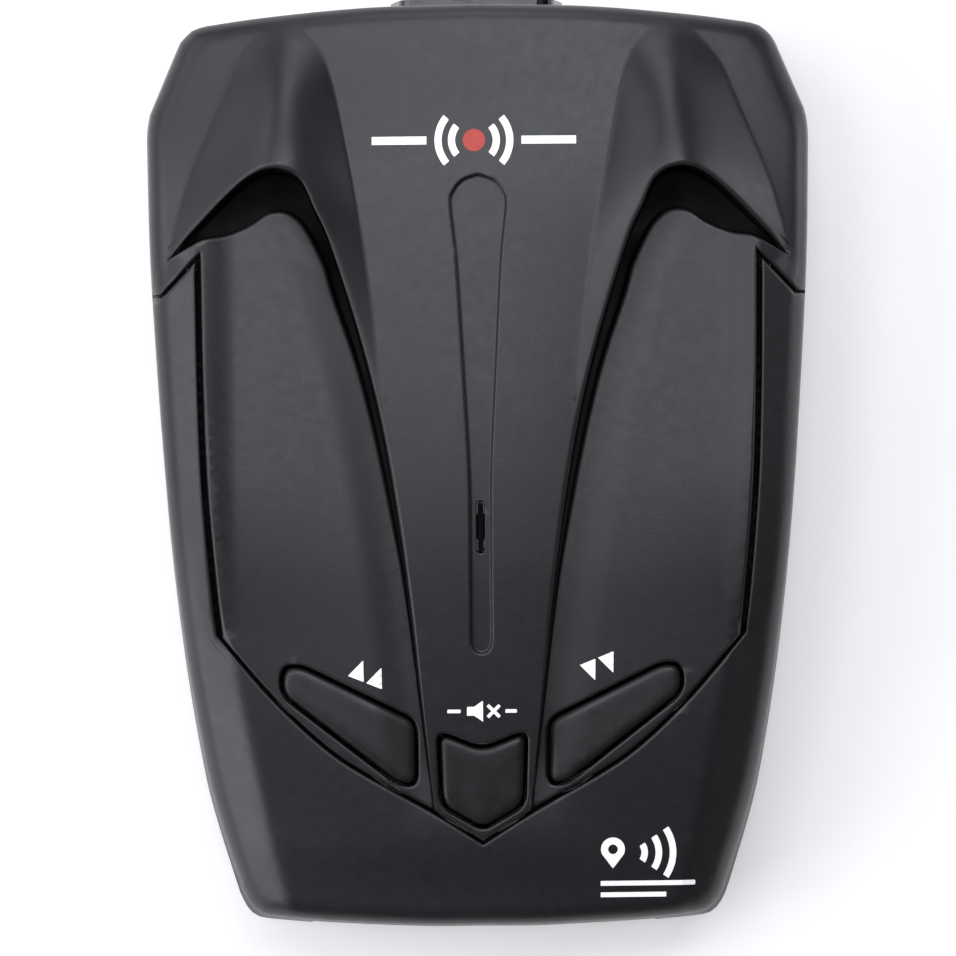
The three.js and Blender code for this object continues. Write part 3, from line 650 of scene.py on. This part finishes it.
# teardrop recess with its slot
tear_side = catmull([(0.0, 32.4), (1.7, 31.8), (2.75, 30.6), (3.12, 29.0), (2.53, 23), (1.85, 11),
                     (1.26, -1), (1.2, -10), (1.2, -18), (1.18, -19.8), (1.0, -20.5), (0.62, -20.95),
                     (0.0, -21.15)])
TEARDROP = resample(np.vstack([tear_side[:-1], mirrored(tear_side)[:-1]])[::-1], 0.25, closed=True)
TEAR_DEPTH = 0.5
SLOT = rounded([(-0.46, -9.9), (0.46, -9.9), (0.46, -4.1), (-0.46, -4.1)], 0.46, 9)


def cover_height(points):
    z = skin(points)
    return np.where(inside(points, offset_path(TEARDROP, 0.15, closed=True)), z - TEAR_DEPTH, z)


def groove_floor(points):
    """Bottom of the dark groove under the lip: deep below the hoods, shallow along the spine."""
    y = points[:, 1]
    depth = profile([(-39, 0.12), (-20, 0.35), (-5, 0.9), (12, 1.8), (21, 3.6), (27, 6.0)])(y)
    return lower_height(points[:, 0], y) - depth


def put(sheet, path, z, closed=False, mask=None):
    """Adds the parts of a line that lie where mask allows."""
    if mask is None:
        sheet.line(path, z, closed)
        return
    good = mask(path)
    if closed and good.all():
        sheet.line(path, z, True)
        return
    if closed:
        turn = int(np.argmin(good))
        path, z, good = np.roll(path, -turn, 0), np.roll(z, -turn), np.roll(good, -turn)
    run = []
    for i, flag in enumerate(list(good) + [False]):
        if flag:
            run.append(i)
        elif run:
            if len(run) > 1:
                sheet.line(path[run], z[run])
            run = []


def wall_scale(path):
    """Fades fillets out on the upright side walls."""
    return smooth((depth_of(path) - 0.5) / 0.8)


SMALL_FILLET = [(0.38, 0.0), (0.24, 0.0), (0.14, -0.03), (0.06, -0.09), (0.015, -0.2)]


def add_rings(sheet, mask, roof=surface):
    for d in RING_DEPTHS:
        loop = inset(d)
        put(sheet, loop, rolled(np.full(len(loop), d), roof(loop)), True, mask)


# ---------- openings in the upright walls ----------
def upper_wall_depth(x, y):
    """Inset of the upright wall at height z, where the roof is as high as at x, y."""
    rise = float(surface(np.array([(x, y)]))[0]) - EDGE_RADIUS - SHELL_Z
    return lambda z: np.where(z <= SHELL_Z, -0.3, SIDE_DRAFT * (z - SHELL_Z) / rise)


# (height, inset) down the lower case
BOTTOM_WALL = [(9.6, 0.0), (9.5, 0.03), (9.3, 0.08), (7.5, 0.25), (5.6, 0.5), (4.2, 0.75),
               (3.2, 1.0), (2.3, 1.4), (1.65, 1.95), (1.25, 2.6), (1.05, 3.2), (1.0, 3.9)]


def bottom_wall_depth(z):
    heights, depths = zip(*BOTTOM_WALL[::-1])
    return np.where(z >= 9.6, -0.3, np.interp(z, heights, depths))


def wall_loop(points, side, depth_at):
    """Plan view of a closed loop drawn on an upright wall; points are (along the wall, height)."""
    points = resample(points, 0.3, closed=True)
    along, d = points[:, 0], depth_at(points[:, 1])
    if side in ("front", "rear"):
        wall = outline[(outline[:, 1] > 40) if side == "front" else (outline[:, 1] < -49)]
        wall = wall[np.argsort(wall[:, 0])]
        across = np.interp(along / (1 - d / HALF_WIDTH), wall[:, 0], wall[:, 1]) * (1 - d / HALF_LENGTH)
        return np.column_stack([along, across])
    wall = outline[(np.abs(outline[:, 1]) < 15) & ((outline[:, 0] > 0) == (side == "right"))]
    wall = wall[np.argsort(wall[:, 1])]
    across = np.interp(along / (1 - d / HALF_LENGTH), wall[:, 1], wall[:, 0]) * (1 - d / HALF_WIDTH)
    return np.column_stack([across, along])


LENS_OPENING = rounded([(-10.3, 8.3), (10.3, 8.3), (8.7, 16.9), (-8.7, 16.9)], 1.6)
DISPLAY_OPENING = rounded([(-19.5, 3.7), (19.5, 3.7), (19.5, 11.5), (-19.5, 11.5)], 0.8)
JACK_OPENING = np.array([(2.1 * math.cos(a), 12.1 + 2.1 * math.sin(a)) for a in np.linspace(0, 6.2, 36)])
USB_OPENING = rounded([(-4.3, 8.9), (4.3, 8.9), (4.3, 12.3), (-4.3, 12.3)], 0.6)
cover_openings = [wall_loop(LENS_OPENING, "front", upper_wall_depth(0.0, 51.5))]
frame_openings = [wall_loop(DISPLAY_OPENING, "rear", upper_wall_depth(0.0, -51.8)),
                  wall_loop(JACK_OPENING, "right", upper_wall_depth(35.2, 0.0)),
                  wall_loop(USB_OPENING, "left", upper_wall_depth(35.2, 0.0))]
bottom_openings = [wall_loop(LENS_OPENING, "front", bottom_wall_depth),
                   wall_loop(DISPLAY_OPENING, "rear", bottom_wall_depth),
                   wall_loop(USB_OPENING, "left", bottom_wall_depth)]


def outside_all(points, loops):
    clear = np.ones(len(points), bool)
    for loop in loops:
        clear &= ~inside(points, loop)
    return clear


# ---------- top cover ----------
lip_fine = resample(lip_line, 0.45)
lip_fine = lip_fine[2:]
groove_width = profile([(-39, 0.18), (-30, 0.24), (-12, 0.42), (-4, 0.7), (6, 1.0), (12, 1.15), (20, 1.5)])
arch_edge = catmull([(34.7, 23.15), (31.0, 25.3), (28.2, 25.9), (25.6, 27.0), (23.8, 28.2), (22.3, 28.55),
                     (20.9, 28.2), (19.5, 26.9), (18.2, 24.6), (17.1, 22.2)])
lip_run = lip_fine[(lip_fine[:, 1] < 20.5) & (lip_fine[:, 0] < 20)]
panel_fine = np.vstack([arch_edge, offset_path(lip_run, groove_width(lip_run[:, 1]))])
panel_fine = resample(panel_fine, 0.45)[2:]
GROOVE_TIP = (34.72, 23.2)
GROOVE = np.vstack([GROOVE_TIP, lip_fine, panel_fine[::-1]])


def clearance(path, other):
    """Distance from each point of a path to another path."""
    apart = path[:, None] - other[None]
    return np.min(np.hypot(apart[..., 0], apart[..., 1]), axis=1)


lip_gap = clearance(lip_fine, panel_fine)
panel_gap = clearance(panel_fine, lip_fine)


def tip_fade(path):
    """0 at the tip of the groove, 1 a few millimetres away."""
    return np.maximum(0.15, smooth(np.hypot(np.abs(path[:, 0]) - 34.7, path[:, 1] - 23.2) / 4.0))


def lip_offset(distance):
    """Lip line moved sideways: positive into the groove, negative onto the hood and spine."""
    if distance > 0:
        return offset_path(lip_fine, np.minimum(distance, lip_gap * (0.2 + 0.3 * distance)))
    taper = profile([(-39, 0.12), (-28, 0.3), (-15, 0.8), (0, 1.0)])(lip_fine[:, 1])
    return offset_path(lip_fine, distance * taper * tip_fade(lip_fine))


def panel_offset(distance):
    """Panel edge moved sideways: positive onto the panel, negative into the groove."""
    if distance < 0:
        return offset_path(panel_fine, np.maximum(distance, -panel_gap * (0.2 - 0.3 * distance)))
    taper = profile([(-39, 0.25), (-20, 0.5), (0, 1.0)])(panel_fine[:, 1])
    return offset_path(panel_fine, distance * taper * tip_fade(panel_fine))


def upper_skin(path):
    return rolled(depth_of(path), upper_height(path[:, 0], path[:, 1]))


def lower_skin(path):
    return rolled(depth_of(path), lower_height(path[:, 0], path[:, 1]))


slot_inner = resample(SLOT, 0.15, closed=True)
OPENING_GROW = 0.2  # of a key's opening outside its outline
key_openings = [key_loop(name, OPENING_GROW) for name in KEY_OUTLINES]


EDGE_SLACK = 0.02  # mm past the outline within which a face still belongs to its shell
LEDGE_START = 0.95  # inset from which the ledge under the frame begins


def in_groove(points):
    folded = np.column_stack([np.abs(points[:, 0]), points[:, 1]])
    return inside(folded, GROOVE)


def near_groove(points):
    """In the groove or on the fillets beside it."""
    folded = np.column_stack([np.abs(points[:, 0]), points[:, 1]])
    return inside(folded, np.vstack([(34.9, 23.05), lip_offset(-0.75), panel_offset(0.56)[::-1]]))


def cover_full(points):
    """Height of the cover everywhere, with the recess, the grooves and the ledge under the frame."""
    z = cover_height(points)
    z = np.where(in_groove(points), groove_floor(points), z)
    under = rolled(np.maximum(depth_of(points) - 0.9, 0), surface(points)) - SEAM_DEPTH
    return np.where(inside(points, cover_limit), z, np.maximum(under, SHELL_Z))


def cover_keep(points):
    depth = depth_of(points)
    wanted = inside(points, cover_limit) | (inside(points, ledge_limit) & (depth > LEDGE_START))
    holes = [*key_openings, slot_inner, *cover_openings]
    return wanted & (depth > -EDGE_SLACK) & outside_all(points, holes)


def in_shadow(points):
    """Faces painted black as shade: the grooves, the ledge in the seam and the walls of the sensor's slot.
    """
    slot_rim = offset_path(slot_inner, -0.02, closed=True)
    return in_groove(points) | ~inside(points, cover_limit) | inside(points, slot_rim)


cover = Sheet(cover_full, cover_keep)
FILLET_REACH = EDGE_FILLET[0][0]
cover_flat, frame_flat = cover_side(-FILLET_REACH), frame_side(FILLET_REACH)


def beside_seam(points, limit, flat):
    """Inside limit, and off the seam's fillet except low on the walls, where the fillet has faded out."""
    return inside(points, limit) & (inside(points, flat) | (depth_of(points) < 0.55))


add_rings(cover, lambda p: beside_seam(p, cover_limit, cover_flat) & ~near_groove(p))
for distance, drop in EDGE_FILLET:
    path = seam_at(-distance)
    put(cover, path, skin(path) + drop * wall_scale(path),
        mask=lambda p: (depth_of(p) > 0.0) & ~near_groove(p))
for distance in (-0.001, SEAM_LEDGE):
    path = seam_at(distance)
    put(cover, path, cover_full(seam_at(distance + 0.02)) if distance < 0 else cover_full(path),
        mask=lambda p: depth_of(p) > LEDGE_START)
tip_z = float(skin(np.array([GROOVE_TIP]))[0])


def groove_line(path, z, side):
    """Line along a groove, started at the groove's tip; side is the factor for x and y."""
    put(cover, np.vstack([GROOVE_TIP, path]) * side, np.concatenate([[tip_z], z]),
        mask=lambda p: inside(p, cover_limit))


def groove_side(edge, offset, top, fillet, full_depth, floor_steps, side):
    """Fillet above one edge of a groove, smaller where the groove is shallow, and lines on its floor."""
    scale = np.minimum(1.0, (top(edge) - groove_floor(edge)) / full_depth) * tip_fade(edge)
    for distance, drop in fillet:
        path = offset(distance)
        groove_line(path, top(path) + drop * scale, side)
    for distance in floor_steps:
        path = offset(distance)
        groove_line(path, groove_floor(path), side)


# (sideways distance from the edge, how far the skin has dropped there), in mm
LIP_FILLET = [(-0.75, 0.0), (-0.55, 0.0), (-0.36, -0.03), (-0.2, -0.1), (-0.08, -0.23), (-0.02, -0.42)]
PANEL_FILLET = [(0.56, 0.0), (0.4, 0.0), (0.24, -0.02), (0.12, -0.08), (0.05, -0.18), (0.0, -0.32)]
CREST_LIFT = 0.03  # keeps the line on a crest a touch proud, so that it stays crisp
for side in ([1, 1], [-1, 1]):
    groove_side(lip_fine, lip_offset, upper_skin, LIP_FILLET, 1.4, (0.1, 0.4), side)
    groove_side(panel_fine, panel_offset, lower_skin, PANEL_FILLET, 0.8, (-0.1, -0.4), side)
    for crease, start, end in ((hood_inner, 5.5, 48.8), (hood_outer, 24.6, 48.8)):
        ys = np.arange(start, end, 0.8)
        for aside in (-0.35, 0.0, 0.35):
            path = np.column_stack([crease(ys) + aside, ys])
            lift = CREST_LIFT if aside == 0 else 0.0
            put(cover, path * side, skin(path) + lift, mask=lambda p: ~near_groove(p))
TEAR_WALL = [(-0.36, 0.0), (-0.2, 0.0), (-0.1, -0.04), (0.0, -0.15),
             (0.12, -TEAR_DEPTH + 0.05), (0.2, -TEAR_DEPTH), (0.36, -TEAR_DEPTH)]
for distance, drop in TEAR_WALL:
    path = offset_path(TEARDROP, distance, closed=True)
    put(cover, path, skin(path) + drop, True)
for distance, drop in [(-0.2, 0.0), (-0.1, 0.0), (-0.03, -0.04), (0.0, -1.6)]:
    path = offset_path(slot_inner, distance, closed=True)
    put(cover, path, skin(path) - TEAR_DEPTH + drop, True)
for name in KEY_OUTLINES:
    for distance, drop in SMALL_FILLET + [(0.0, -2.6)]:
        path = key_loop(name, OPENING_GROW + distance)
        put(cover, path, skin(path) + drop, True, mask=lambda p: inside(p, cover_limit))
for loop in cover_openings:
    put(cover, loop, cover_full(loop), True)
cover.field((-38, 38, -43, 52.5), 0.95)
# the grooves, the ledge in the seam and the slot's walls carry the black painted shade
top_cover = cover.build("top_cover_shell", SHELL, inlay=(PAINTED_SHADE, in_shadow))

# ---------- rear frame ----------
def frame_keep(points):
    within = inside(points, frame_limit) & (depth_of(points) > -EDGE_SLACK)
    return within & outside_all(points, frame_openings)


rear = Sheet(lower_skin, frame_keep)
add_rings(rear, lambda p: beside_seam(p, frame_limit, frame_flat), lambda p: lower_height(p[:, 0], p[:, 1]))
for distance, drop in EDGE_FILLET + [(0.001, -1.0)]:
    path = seam_at(distance)
    put(rear, path, lower_skin(path) + drop * wall_scale(path), mask=lambda p: depth_of(p) > 0.0)
for loop in frame_openings:
    put(rear, loop, lower_skin(loop), True)
rear.field((-38, 38, -52.5, 23), 0.95)
rear_frame = rear.build("rear_frame_shell", SHELL)

# ---------- keys ----------
KEY_SLANT = {"up_key": lambda p: (p[:, 1] + 29.5) * 0.6 + p[:, 0] * 0.25 + 3.6,
             "down_key": lambda p: (p[:, 1] + 29.5) * 0.6 - p[:, 0] * 0.25 + 3.6,
             "mute_key": lambda p: (p[:, 1] + 36.0) * 0.35}
KEY_FILLET = [(0.95, 0.0), (0.6, -0.04), (0.34, -0.13), (0.15, -0.3), (0.04, -0.55)]


def key_height(name):
    """Key top: flush at its lower edge, a little sunk at its upper one."""
    def height(p):
        return skin(p) - 0.18 - 0.22 * smooth(KEY_SLANT[name](p) / 4 + 0.5)
    return height


KEY_INSET = 0.14  # of a key inside its outline
FLANGE = 1.0
FLANGE_THICKNESS = 1.1
FLANGE_TOP = {"up_key": 15.59, "mute_key": 14.31, "down_key": 15.59}
KEY_POST_RADIUS = 1.6
for name in KEY_OUTLINES:
    top = key_height(name)
    edge = key_loop(name, FLANGE)
    cap = Sheet(top, lambda p, edge=edge: inside(p, edge))
    for distance, drop in KEY_FILLET:
        path = key_loop(name, -KEY_INSET - distance)
        cap.line(path, top(path) + drop, True)
    shelf, under = FLANGE_TOP[name], FLANGE_TOP[name] - FLANGE_THICKNESS
    rim = FLANGE + KEY_INSET
    for grow, z in ((0.02, shelf), (rim - 0.1, shelf), (rim - 0.01, shelf - 0.1), (rim, under)):
        cap.line(key_loop(name, grow - KEY_INSET), z, True)
    (x0, y0), (x1, y1) = edge.min(0), edge.max(0)
    cap.field((x0, x1, y0, y1), 0.8)
    stem_low, stem_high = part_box(name.replace("_key", "_switch_stem"))
    x, y = [(stem_low[i] + stem_high[i]) / 2 / MM for i in (0, 1)]
    post = rod(x, y - CENTRING, KEY_POST_RADIUS, stem_high[2] / MM + 0.15, under + 0.3)
    # the key's sides and flange, outside its top face, carry the black painted shade of the gap
    face = key_loop(name, -KEY_INSET - 0.03)
    piece = cap.build(f"{name}_cap", KEY, body=name.replace("_key", "_button"), closed=True, extra=post,
                      inlay=(PAINTED_SHADE, lambda p, face=face: ~inside(p, face)))
    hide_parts(name)

# ---------- bottom cover, seen from below ----------
FEET = [(24, 42), (-24, 42), (21, -33), (-21, -33)]
SCREWS = [(31.5, 34), (-31.5, 34), (23, -44), (-23, -44)]
SPEAKER = (12, -12)


def circle(x, y, radius, step=0.5):
    count = max(16, int(2 * math.pi * radius / step))
    a = np.linspace(0, 2 * math.pi, count, endpoint=False)
    return np.column_stack([x + radius * np.cos(a), y + radius * np.sin(a)])


GRILLE_PITCH, GRILLE_RADIUS, SLOT_HALF = 3.0, 10.2, 0.7
FOOT_SEAT, SCREW_SEAT, LABEL_SEAT = 1.6, 2.85, 1.38  # heights of the recesses' floors


def grille_slots(grow=0.0):
    slots = []
    for i in range(-3, 4):
        x = SPEAKER[0] + GRILLE_PITCH * i
        half = math.sqrt(GRILLE_RADIUS ** 2 - (GRILLE_PITCH * i) ** 2)
        x0, x1 = x - SLOT_HALF - grow, x + SLOT_HALF + grow
        y0, y1 = SPEAKER[1] - half - grow, SPEAKER[1] + half + grow
        corners = [(x0, y0), (x1, y0), (x1, y1), (x0, y1)]
        slots.append(resample(rounded(corners, 0.69 + grow, 7), 0.4, closed=True))
    return slots


def label_loop(grow):
    x, y0, y1 = 18 + grow, 8 - grow, 30 + grow
    return resample(rounded([(-x, y0), (x, y0), (x, y1), (-x, y1)], 1.2), 0.7, closed=True)


def wall_bottom(path):
    """Height of the lower case's skin, without its recesses."""
    heights, depths = zip(*BOTTOM_WALL)
    return np.interp(depth_of(path), depths, heights)


def bottom_height(points):
    z = wall_bottom(points)
    for x, y in FEET:
        z = np.where(np.hypot(points[:, 0] - x, points[:, 1] - y) < 4.78, FOOT_SEAT, z)
    for x, y in SCREWS:
        z = np.where(np.hypot(points[:, 0] - x, points[:, 1] - y) < 2.68, SCREW_SEAT, z)
    return np.where(inside(points, label_loop(-0.02)), LABEL_SEAT, z)


def bottom_keep(points):
    return (depth_of(points) > -EDGE_SLACK) & outside_all(points, grille_slots() + bottom_openings)


base = Sheet(bottom_height, bottom_keep)
for z, d in BOTTOM_WALL:
    base.line(inset(d), z, closed=True)


def sunk(loop_at, depth):
    """Recess with a rounded rim: loop_at(grow) gives its outline grown outwards."""
    for grow, drop in [(0.3, 0.0), (0.12, 0.04), (0.03, 0.14), (0.0, depth - 0.06), (-0.08, depth)]:
        path = loop_at(grow)
        base.line(path, wall_bottom(path) + drop if depth < 1.5 else 1.0 + drop, closed=True)


for x, y in FEET:
    sunk(lambda grow, x=x, y=y: circle(x, y, 4.8 + grow), 0.6)
for x, y in SCREWS:
    for grow, z in [(0.3, 1.0), (0.12, 1.05), (0.0, 1.25), (-0.03, 2.8), (-0.1, SCREW_SEAT)]:
        path = circle(x, y, 2.7 + grow, 0.4)
        base.line(path, np.maximum(wall_bottom(path), z), closed=True)
sunk(label_loop, 0.38)
for grow, z in [(0.25, 1.0), (0.1, 1.05), (0.0, 2.6)]:
    for loop in grille_slots(grow):
        base.line(loop, z, closed=True)
for loop in bottom_openings:
    base.line(loop, wall_bottom(loop), closed=True)
base.field((-38, 38, -52.5, 52.5), 1.5)
bottom_cover = base.build("bottom_cover_shell", SHELL, flip=True)

WALL = 0.9
for piece, node in ((top_cover, "top_cover"), (rear_frame, "rear_frame"), (bottom_cover, "bottom_cover")):
    solidify = piece.modifiers.new("wall", "SOLIDIFY")
    solidify.thickness = WALL * MM
    solidify.offset = -1
    solidify.use_even_offset = False
    piece.modifiers.move(1, 0)
    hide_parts(node)

# ---------- printed marks: plain signs in place of lettering ----------
PRINT_LIFT = 0.035


def placed(loop, x, y, turn=0.0):
    """Loop turned by degrees and moved to x, y."""
    a = math.radians(turn)
    p = np.asarray(loop, float)
    return np.column_stack([x + p[:, 0] * math.cos(a) - p[:, 1] * math.sin(a),
                            y + p[:, 0] * math.sin(a) + p[:, 1] * math.cos(a)])


def printed(name, loops, material, height, holes=(), below=False):
    """Thin printed area that follows the surface under it; below for one on the underside."""
    fine = [resample(loop, 0.18, closed=True) for loop in loops]
    gaps = [resample(loop, 0.18, closed=True) for loop in holes]

    def keep(p):
        hit = np.zeros(len(p), bool)
        for loop in fine:
            hit |= inside(p, loop)
        return hit & outside_all(p, gaps)
    sheet = Sheet(height, keep)
    for loop in fine + gaps:
        sheet.line(loop, height(loop), closed=True)
    everything = np.vstack(fine)
    (x0, y0), (x1, y1) = everything.min(0), everything.max(0)
    sheet.field((x0, x1, y0, y1), 0.5)
    return sheet.build(name, material, flip=below, lift=-PRINT_LIFT if below else PRINT_LIFT)


def bar(x0, x1, y0, y1):
    return np.array([(x0, y0), (x1, y0), (x1, y1), (x0, y1)], float)


def arc_band(radius, thickness, start, end, x=0.0, y=0.0):
    a = np.radians(np.linspace(start, end, 24))
    outer = np.column_stack([x + (radius + thickness) * np.cos(a), y + (radius + thickness) * np.sin(a)])
    inner = np.column_stack([x + radius * np.cos(a), y + radius * np.sin(a)])
    return np.vstack([outer, inner[::-1]])


SIGNAL = (-0.4, 36.2)
waves = []
for radius in (2.1, 3.6):
    waves += [arc_band(radius, 0.8, -40, 40), arc_band(radius, 0.8, 140, 220)]
for side in (-1, 1):
    waves += [bar(side * 8.35 - 3.05, side * 8.35 + 3.05, -0.45, 0.45)]
printed("mark_front_waves", [placed(w, *SIGNAL) for w in waves], PRINT_WHITE, skin)
printed("mark_front_dot", [circle(SIGNAL[0], SIGNAL[1], 1.25, 0.1)], PRINT_RED, skin)
TRIANGLE = np.array([(-0.95, -1.1), (0.95, -1.1), (0.0, 1.15)])
for name, x, y, turn, way in (("up", -12.7, -23.3, -22, 1), ("down", 13.3, -22.8, 22, -1)):
    pair = [placed(TRIANGLE * [1, way] + [side, 0], x, y, turn) for side in (-1.1, 1.1)]
    printed(f"mark_{name}", pair, PRINT_WHITE, skin)
speaker = np.array([(-1.7, -0.5), (-0.9, -0.5), (0.1, -1.2), (0.1, 1.2), (-0.9, 0.5), (-1.7, 0.5)])
cross = [placed(bar(-0.95, 0.95, -0.19, 0.19), 1.3, 0, turn) for turn in (45, -45)]
mute = [speaker, *cross, bar(-3.9, -2.4, -0.2, 0.2), bar(2.6, 3.9, -0.2, 0.2)]
printed("mark_mute", [placed(m, 0, -27.6) for m in mute], PRINT_WHITE, skin)
PIN = (14.6, -43.5)
pin_arc = np.radians(np.linspace(-25, 205, 30))
pin = np.vstack([np.column_stack([1.35 * np.cos(pin_arc), 0.1 + 1.35 * np.sin(pin_arc)]), [(0.0, -2.1)]])
pin_hole = circle(PIN[0], PIN[1] + 0.1, 0.55, 0.1)
printed("mark_pin", [placed(pin, *PIN)], PRINT_WHITE, lower_skin, holes=[pin_hole])
receiver = [placed(arc_band(r, 0.75, -34, 34), PIN[0] + 1.9, PIN[1] - 0.3) for r in (1.3, 2.9, 4.5)]
receiver += [bar(13.2, 23.9, -47.55, -47.0), bar(13.2, 20.6, -48.85, -48.3)]
printed("mark_receiver", receiver, PRINT_WHITE, lower_skin)

LABEL_BOTTOM = 1.0


def label_level(p):
    return np.full(len(p), LABEL_BOTTOM)


frame_outer, frame_inner = bar(-16.6, 16.6, 9.6, 28.4), bar(-16.2, 16.2, 10.0, 28.0)
printed("label_border", [frame_outer], LABEL_INK, label_level, holes=[frame_inner], below=True)
rules = [bar(-15.0, 15.0 - cut, 25.6 - 2.1 * row, 26.1 - 2.1 * row)
         for row, cut in enumerate((9.0, 16.0, 12.0, 19.0))]
cells = [bar(8.0 + 1.3 * i, 9.2 + 1.3 * i, 11.2 + 1.3 * j, 12.4 + 1.3 * j)
         for i in range(5) for j in range(5) if i == 0 or j == 0 or (i + j) % 2 == 0]
stripes = [bar(-15.0 + 1.4 * i, -15.0 + 1.4 * i + (0.9 if i % 3 else 0.5), 11.4, 15.4) for i in range(13)]
printed("label_marks", rules + cells + stripes, LABEL_INK, label_level, below=True)

# ---------- housing screws: heads with a cross recess ----------
HEAD_RADIUS = 2.35
SHANK_RADIUS = 1.1
HEAD_Z = 1.35
RECESS_DEPTH = 0.95
CROSS = np.array([(1.35, 0.2), (0.42, 0.3), (0.3, 0.42), (0.2, 1.35)])
quarters = [CROSS, CROSS[:, ::-1] * [-1, 1], -CROSS, CROSS[:, ::-1] * [1, -1]]
cross_loop = np.vstack(quarters)
for i, (x, y) in enumerate(SCREWS):
    loop = placed(cross_loop, x, y, 20 + 35 * i)
    middle = np.array([x, y])
    head = Sheet(lambda p: np.full(len(p), HEAD_Z),
                 lambda p, middle=middle: np.hypot(*(p - middle).T) < HEAD_RADIUS)
    for narrower, z in ((0, 1.4), (0.01, 0.35), (0.1, 0.15), (0.3, 0.03), (0.5, 0)):
        head.line(circle(x, y, HEAD_RADIUS - narrower, 0.3), HEAD_Z + z, closed=True)
    for size, z in ((1.06, 0), (1, 0.08), (0.8, RECESS_DEPTH)):
        head.line(resample(middle + (loop - middle) * size, 0.15, closed=True), HEAD_Z + z, closed=True)
    head.line([middle - [0.08, 0], middle + [0.08, 0]], HEAD_Z + RECESS_DEPTH)
    node = f"housing_screw_{i + 1}"
    shank = rod(x, y, SHANK_RADIUS, HEAD_Z + 1.3, 9.8)
    piece = head.build(f"{node}_crosshead", DARK_STEEL, flip=True, closed=True, extra=shank)
    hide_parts(node)

# ---------- carried-over parts: small bevels ----------
SMALL_BEVEL = 0.12
replaced = {"top_cover", "rear_frame", "bottom_cover", *KEY_OUTLINES}
replaced |= {f"housing_screw_{i + 1}" for i in range(len(SCREWS))}
for name, node in frame["nodes"].items():
    if name not in replaced:
        bevel = node.modifiers.new("edges", "BEVEL")
        bevel.width = SMALL_BEVEL * MM
        bevel.segments = 2
        bevel.limit_method = "ANGLE"
        bevel.angle_limit = math.radians(40)

# ---------- stage: floor, light ----------
floor_mesh = bpy.data.meshes.new("floor")
FLOOR_HALF = 1.5
FLOOR_GLOW = 0.35
floor_corners = [(x * FLOOR_HALF, y * FLOOR_HALF, 0) for x, y in ((-1, -1), (1, -1), (1, 1), (-1, 1))]
floor_mesh.from_pydata(floor_corners, [], [(0, 1, 2, 3)])
floor = bpy.data.objects.new("floor", floor_mesh)
bpy.context.scene.collection.objects.link(floor)
paper = coloured("pale_floor", grey(0.80), grey(0.83), 0.9, 2.0, 0.01)
floor_mesh.materials.append(glowing(paper, FLOOR_GLOW))


LIGHT_COLOUR = (0.97, 0.99, 1.05)


def softbox(name, place, size, watts):
    """Square area light at a place in metres, aimed at the middle of the object."""
    light = bpy.data.lights.new(name, "AREA")
    light.shape = "SQUARE"
    light.size = size
    light.energy = watts
    light.color = LIGHT_COLOUR
    obj = bpy.data.objects.new(name, light)
    bpy.context.scene.collection.objects.link(obj)
    obj.location = place
    obj.rotation_euler = (-Vector(place)).to_track_quat("-Z", "Y").to_euler()


softbox("top_light", (0.0, 0.0, 1.30), 0.25, 1.75)
softbox("top_front_light", (0.0, 0.25, 0.72), 0.20, 0.55)
softbox("top_left_light", (-0.22, 0.05, 0.70), 0.20, 0.45)
softbox("left_front_light", (-0.22, 0.25, 0.65), 0.20, 0.50)
softbox("right_front_light", (0.22, 0.25, 0.65), 0.20, 0.95)
softbox("front_light", (0.0, 0.50, 0.50), 0.30, 0.30)
softbox("front_fill", (0.0, 0.28, 0.14), 0.16, 0.18)
softbox("left_light", (-0.50, 0.0, 0.50), 0.30, 1.35)
softbox("left_low_light", (-0.65, 0.05, 0.22), 0.25, 0.30)
softbox("left_front_fill", (-0.22, 0.18, 0.14), 0.14, 0.12)
softbox("left_rear_fill", (-0.24, -0.14, 0.12), 0.14, 0.27)
softbox("right_fill", (0.24, 0.06, 0.05), 0.10, 0.10)
WORLD_LIGHT = 0.02
world = bpy.data.worlds.new("studio")
bpy.context.scene.world = world
world.use_nodes = True
world.node_tree.nodes["Background"].inputs[0].default_value = (1, 1, 1, 1)
world.node_tree.nodes["Background"].inputs[1].default_value = WORLD_LIGHT
